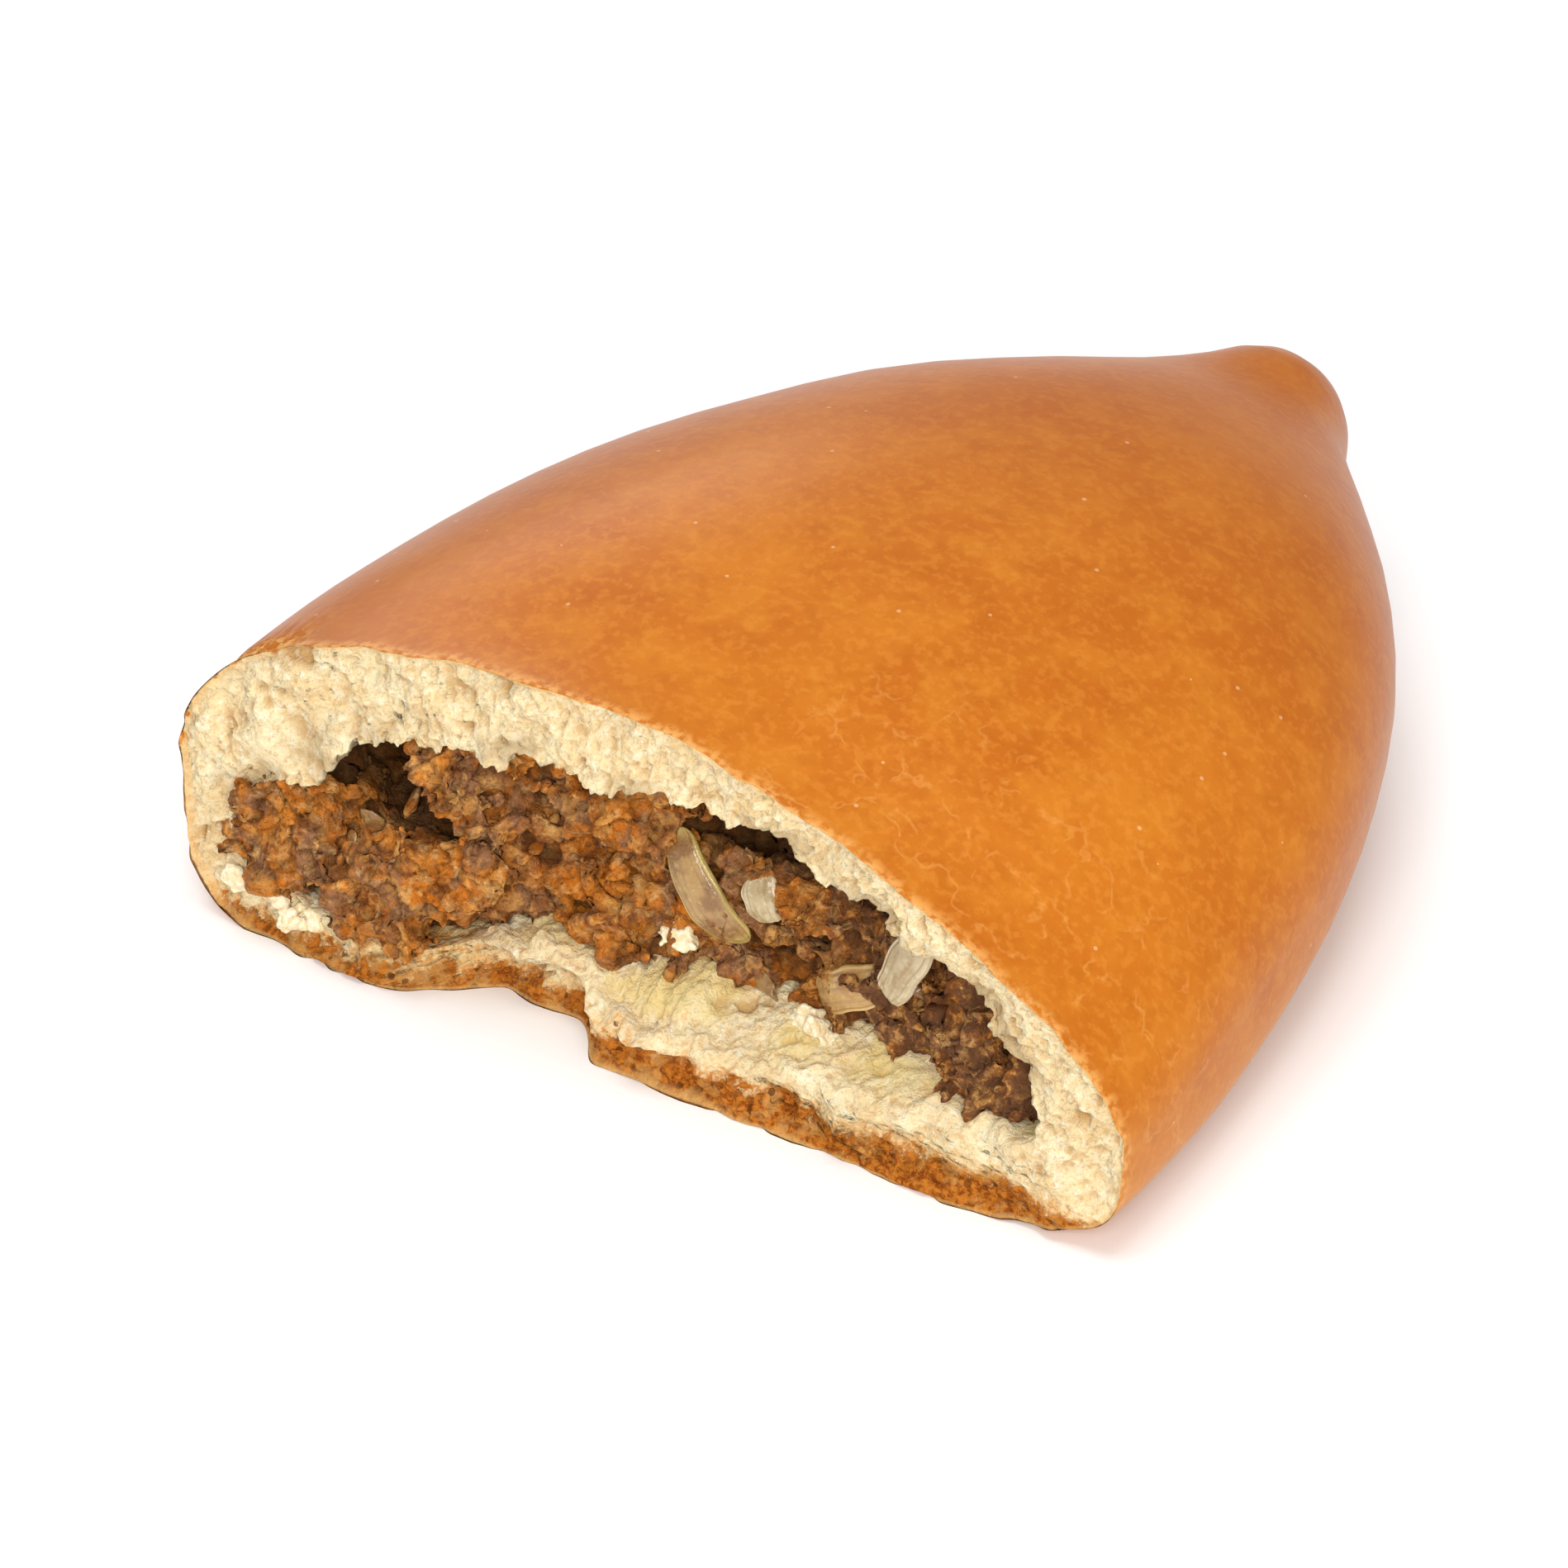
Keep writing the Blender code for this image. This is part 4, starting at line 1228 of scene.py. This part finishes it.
def crumb_colour(graph, where, place, mark, noises, toasted):
    """Torn crumb: pale with painted shade in its deeper pits and where the bump of its pores lies
    low, glassy where it is wet, brown where juice soaks in, toasted towards the base with burnt
    specks, and browned along the crust."""
    middle, _, fine, grit, pores = noises
    pits = mark["pits"]
    glassy = graph.mix((place[2], 0.008, 0.012), (0.88, 0.68, 0.26), (0.48, 0.34, 0.18))
    juice = graph.mix((fine, 0.4, 0.6), (0.74, 0.33, 0.065), (0.95, 0.68, 0.32))
    uneven = graph.times(graph.math("SUBTRACT", grit, 0.5), 1.5)
    eaten = graph.math("ADD", mark["toast"], uneven)
    burnt = use_specks(graph, where, 1.1, 0.24, 0.35)
    crumb = graph.mix((middle, 0.3, 0.7), (0.92, 0.70, 0.38), (0.97, 0.82, 0.52))
    return graph.tint(
        crumb,
        # Painted shade: tan in the deeper pits of the relief.
        ((pits, 0.5, 1.3), 0.85, (0.60, 0.34, 0.12)),
        ((fine, 0.47, 0.36), 0.40, (0.70, 0.45, 0.20)),
        ((fine, 0.52, 0.66), 0.60, (0.99, 0.92, 0.71)),
        # Painted shade: tan where the bump of the pores lies low.
        ((pores, 0.48, 0.36), 0.65, (0.72, 0.46, 0.20)),
        (mark["wet"], 0.7, glassy),
        (mark["soak"], 0.85, juice),
        ((eaten, 0.10, 0.50), 0.75, (0.86, 0.52, 0.21)),
        ((eaten, 0.40, 0.75), 1.0, toasted),
        (graph.times(burnt, (eaten, 0.25, 0.55)), 0.75, (0.15, 0.040, 0.006)),
        ((mark["crust_depth"], 0.1, 0.8, 1.0, 0.0), 0.6, (0.84, 0.50, 0.18)),
    )


def dough_material():
    """Baked crust, open crumb where it is torn, and a toasted base, parted by the marks."""
    made, graph, shader, where = new_material("baked_dough")
    mark = {
        name: graph.mark(name) for name in ("crust_depth", "pits", "toast", "soak", "wet", "flayed")
    }
    place = graph.add("ShaderNodeSeparateXYZ", {"Vector": where}).outputs
    middle = graph.noise(where, 3.6, 4.0)
    patch = graph.noise(where, 1.7, 3.0)
    fine = graph.noise(where, 0.7, 3.0, 0.6)
    grit = graph.noise(where, 0.45, 4.0, 0.7)
    pores = graph.noise(where, 0.38, 4.0, 0.7)
    noises = (middle, patch, fine, grit, pores)
    toasted = graph.mix((grit, 0.38, 0.60), (0.26, 0.058, 0.004), (0.60, 0.20, 0.022))
    toasted = graph.tint(
        toasted,
        ((patch, 0.50, 0.64), 0.5, (0.74, 0.42, 0.13)),
        # Painted shade: near black in the deepest pits of the toasted base.
        ((mark["pits"], 0.8, 1.6), 0.5, (0.16, 0.036, 0.004)),
    )
    crust = crust_colour(graph, where, place, mark, noises)
    crumb = crumb_colour(graph, where, place, mark, noises, toasted)
    open_face = graph.span(mark["crust_depth"], 0.01, 0.10)
    under = graph.mix(mark["toast"], crust, toasted)
    matt = graph.math("MAXIMUM", open_face, mark["flayed"])
    look = {
        "Base Color": graph.mix(open_face, under, crumb),
        "Roughness": graph.ranged(matt, 0.0, 1.0, 0.38, 0.9),
        "Coat Weight": graph.ranged(matt, 0.0, 1.0, 0.12, 0.0),
        "Coat Roughness": 0.22,
        "Specular IOR Level": 0.12,
        "Subsurface Weight": 0.10,
        "Subsurface Scale": 0.0005,
    }
    graph.feed(shader, look)
    rows = {0: open_face, 2: graph.times(fine, 0.08), 3: pores}
    height = graph.add("ShaderNodeMix", rows, data_type="FLOAT").outputs[0]
    graph.bump(shader, height, 0.6, 0.8)
    return made


def mince_material():
    """Cooked mince: grains of several browns, darker to the right, with painted shade in its
    crevices, and painted shade with the darker colour of wet mince in its hollows.
    """
    made, graph, shader, where = new_material("cooked_mince")
    lumps = graph.noise(where, 4.5, 3.0, 0.6, 0.6)
    other = graph.noise(where, 3.0, 3.0, 0.55, 0.4)
    patch = graph.noise(where, 1.6, 3.0, 0.6)
    grain = graph.noise(where, 0.9, 4.0, 0.65)
    fine = graph.noise(where, 0.4, 3.0, 0.6)
    place = graph.add("ShaderNodeSeparateXYZ", {"Vector": where})
    right = graph.span(place.outputs["X"], 0.005, 0.014)
    colour = graph.mix((lumps, 0.40, 0.60), (0.60, 0.175, 0.016), (0.42, 0.165, 0.050))
    colour = graph.tint(
        colour,
        ((other, 0.52, 0.60), 0.75, (0.72, 0.245, 0.028)),
        ((other, 0.47, 0.40), 0.80, (0.34, 0.165, 0.080)),
        ((patch, 0.52, 0.62), 0.65, (0.76, 0.370, 0.095)),
        ((patch, 0.46, 0.36), 0.60, (0.20, 0.075, 0.020)),
        ((grain, 0.52, 0.64), 0.50, (0.72, 0.43, 0.16)),
        ((fine, 0.46, 0.36), 0.45, (0.12, 0.045, 0.012)),
        # Painted shade: near black laid into the crevices between grains.
        (graph.mark("crevice"), 0.65, (0.08, 0.026, 0.005)),
        # Painted shade, with the darker colour of wet mince, deepening as the front lies further
        # back.
        ((graph.mark("sunk"), 0.5, 2.5), 0.88, (0.060, 0.024, 0.007)),
        (graph.times(right, (grain, 0.62, 0.44)), 0.85, (0.130, 0.056, 0.026)),
        (use_specks(graph, where, 1.6, 0.14, 0.2), 0.5, (0.06, 0.025, 0.010)),
    )
    rough = graph.ranged(patch, 0.35, 0.55, 0.28, 0.75)
    look = {"Base Color": colour, "Roughness": rough, "Specular IOR Level": 0.10}
    graph.feed(shader, look)
    graph.bump(shader, graph.noise(where, 0.5, 4.0, 0.65, 1.2), 0.6, 0.8)
    return made


def onion_material(name, body, cloudy, edge_colour):
    """Glassy cooked onion with cloudy patches, paler edges and darker lines between strands."""
    made, graph, shader, where = new_material(name)
    fine = graph.noise(where, 0.5, 3.0)
    colour = graph.mix((graph.noise(where, 1.8, 3.0), 0.38, 0.62), body, cloudy)
    colour = graph.tint(
        colour,
        ((graph.mark("edge"), 0.75, 1.0), 0.8, edge_colour),
        ((fine, 0.52, 0.7), 0.35, edge_colour),
        ((graph.mark("strand"), 0.55, 0.05), 0.45, (0.24, 0.115, 0.035)),
    )
    look = {"Base Color": colour, "Roughness": 0.16, "Coat Weight": 0.3, "Coat Roughness": 0.08}
    graph.feed(shader, look)
    graph.bump(shader, fine, 0.3, 0.5)
    return made


def flake_material():
    """Loose white crumb, mottled."""
    made, graph, shader, where = new_material("crumb_flake")
    fine = graph.noise(where, 0.5, 3.0)
    colour = graph.mix((fine, 0.35, 0.65), (0.80, 0.62, 0.36), (0.95, 0.84, 0.61))
    look = {"Base Color": colour, "Roughness": 0.9, "Specular IOR Level": 0.1}
    look |= {"Subsurface Weight": 0.3, "Subsurface Scale": 0.0008}
    graph.feed(shader, look)
    graph.bump(shader, fine, 0.4, 0.8)
    return made


def floor_material():
    """A plain pale floor with a very faint mottling."""
    made, graph, shader, where = new_material("pale_floor")
    tone = graph.mix(graph.noise(where, 80.0, 2.0), (0.95, 0.95, 0.95), (0.97, 0.97, 0.97))
    graph.feed(shader, {"Base Color": tone, "Roughness": 0.8})
    return made


# The pieces

dough_look = dough_material()
mince_look = mince_material()
# Onion: the piece, its material, and the colours of its body, clouds and edge
ONION_LOOKS = (
    ("onion_petal", "onion_petal", (0.25, 0.12, 0.04), (0.42, 0.25, 0.09), (0.58, 0.45, 0.14)),
    ("onion_chunk", "onion_clear", (0.40, 0.29, 0.14), (0.54, 0.43, 0.25), (0.76, 0.66, 0.44)),
    ("onion_fan", "onion_fan", (0.38, 0.19, 0.055), (0.50, 0.30, 0.10), (0.66, 0.46, 0.18)),
)
onion_looks = {name: onion_material(*row) for name, *row in ONION_LOOKS}


def dress(piece, look, slot, *nodes):
    """Gives a finished piece its material and body, and hides the nodes of the model that it
    replaces. The slot is not used.
    """
    piece.data.materials.clear()
    piece.data.materials.append(look)
    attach(piece, "root")
    if nodes:
        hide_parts(*nodes)


dress(make_dough(), dough_look, "crust", "dough")
dress(make_mince_core(), mince_look, "mince", "filling")
dress(make_mince_front(), mince_look, "mince")
for row in ONION_PIECES:
    dress(onion_plate(row[0] + "_slice", row), onion_looks[row[0]], "onion", row[0])
dress(onion_plate("onion_tooth", ONION_TOOTH), onion_looks["onion_chunk"], "onion")
dress(make_bits("mince_crumbs"), mince_look, "mince")
dress(make_bits("onion_bits"), onion_looks["onion_petal"], "onion")
dress(make_flakes(), flake_material(), "crust")

# Floor, light and camera

FLOOR_SIZE = 6.0
bpy.ops.mesh.primitive_plane_add(size=FLOOR_SIZE, location=(0.0, 0.0, 0.0))
floor = bpy.context.object
floor.name = "floor"
floor.data.materials.append(floor_material())

scene = bpy.context.scene
scene.view_settings.view_transform = "Standard"
world = bpy.data.worlds.new("studio")
world.use_nodes = True
backdrop = world.node_tree.nodes["Background"]
Graph(world.node_tree).feed(backdrop, {"Color": (1.0, 1.0, 1.0), "Strength": 0.50})
scene.world = world


def softbox(name, place, size, watts):
    """A soft rectangular light that faces the middle of the piece."""
    light = bpy.data.lights.new(name, "AREA")
    light.shape = "RECTANGLE"
    light.size, light.size_y = size
    light.energy = watts
    made = show(name, light)
    made.location = place
    aim = LIGHT_AIM - Vector(place)
    made.rotation_euler = aim.to_track_quat("-Z", "Y").to_euler()


LIGHT_AIM = Vector((0.0, 0.0, 0.015))
softbox("softbox_left", (-0.55, 0.45, 0.34), (0.35, 0.30), 0.75)
softbox("softbox_top", (0.05, -0.15, 0.90), (0.5, 0.5), 3.4)
softbox("softbox_front", (0.45, -0.70, 0.50), (0.5, 0.35), 6.6)

AZIMUTH = math.radians(35.0)
ELEVATION = math.radians(34.5)
DISTANCE = 0.80
AIM = Vector((-0.0071, -0.0101, 0.0059))
camera_data = bpy.data.cameras.new("camera")
camera = show("camera", camera_data)
level = math.cos(ELEVATION)
back = Vector((math.sin(AZIMUTH) * level, -math.cos(AZIMUTH) * level, math.sin(ELEVATION)))
camera.location = Vector(TEAR_MIDDLE * MM) + back * DISTANCE
camera.rotation_euler = (AIM - camera.location).to_track_quat("-Z", "Y").to_euler()
camera_data.lens = 290.0
camera_data.sensor_width = 36.0
scene.camera = camera
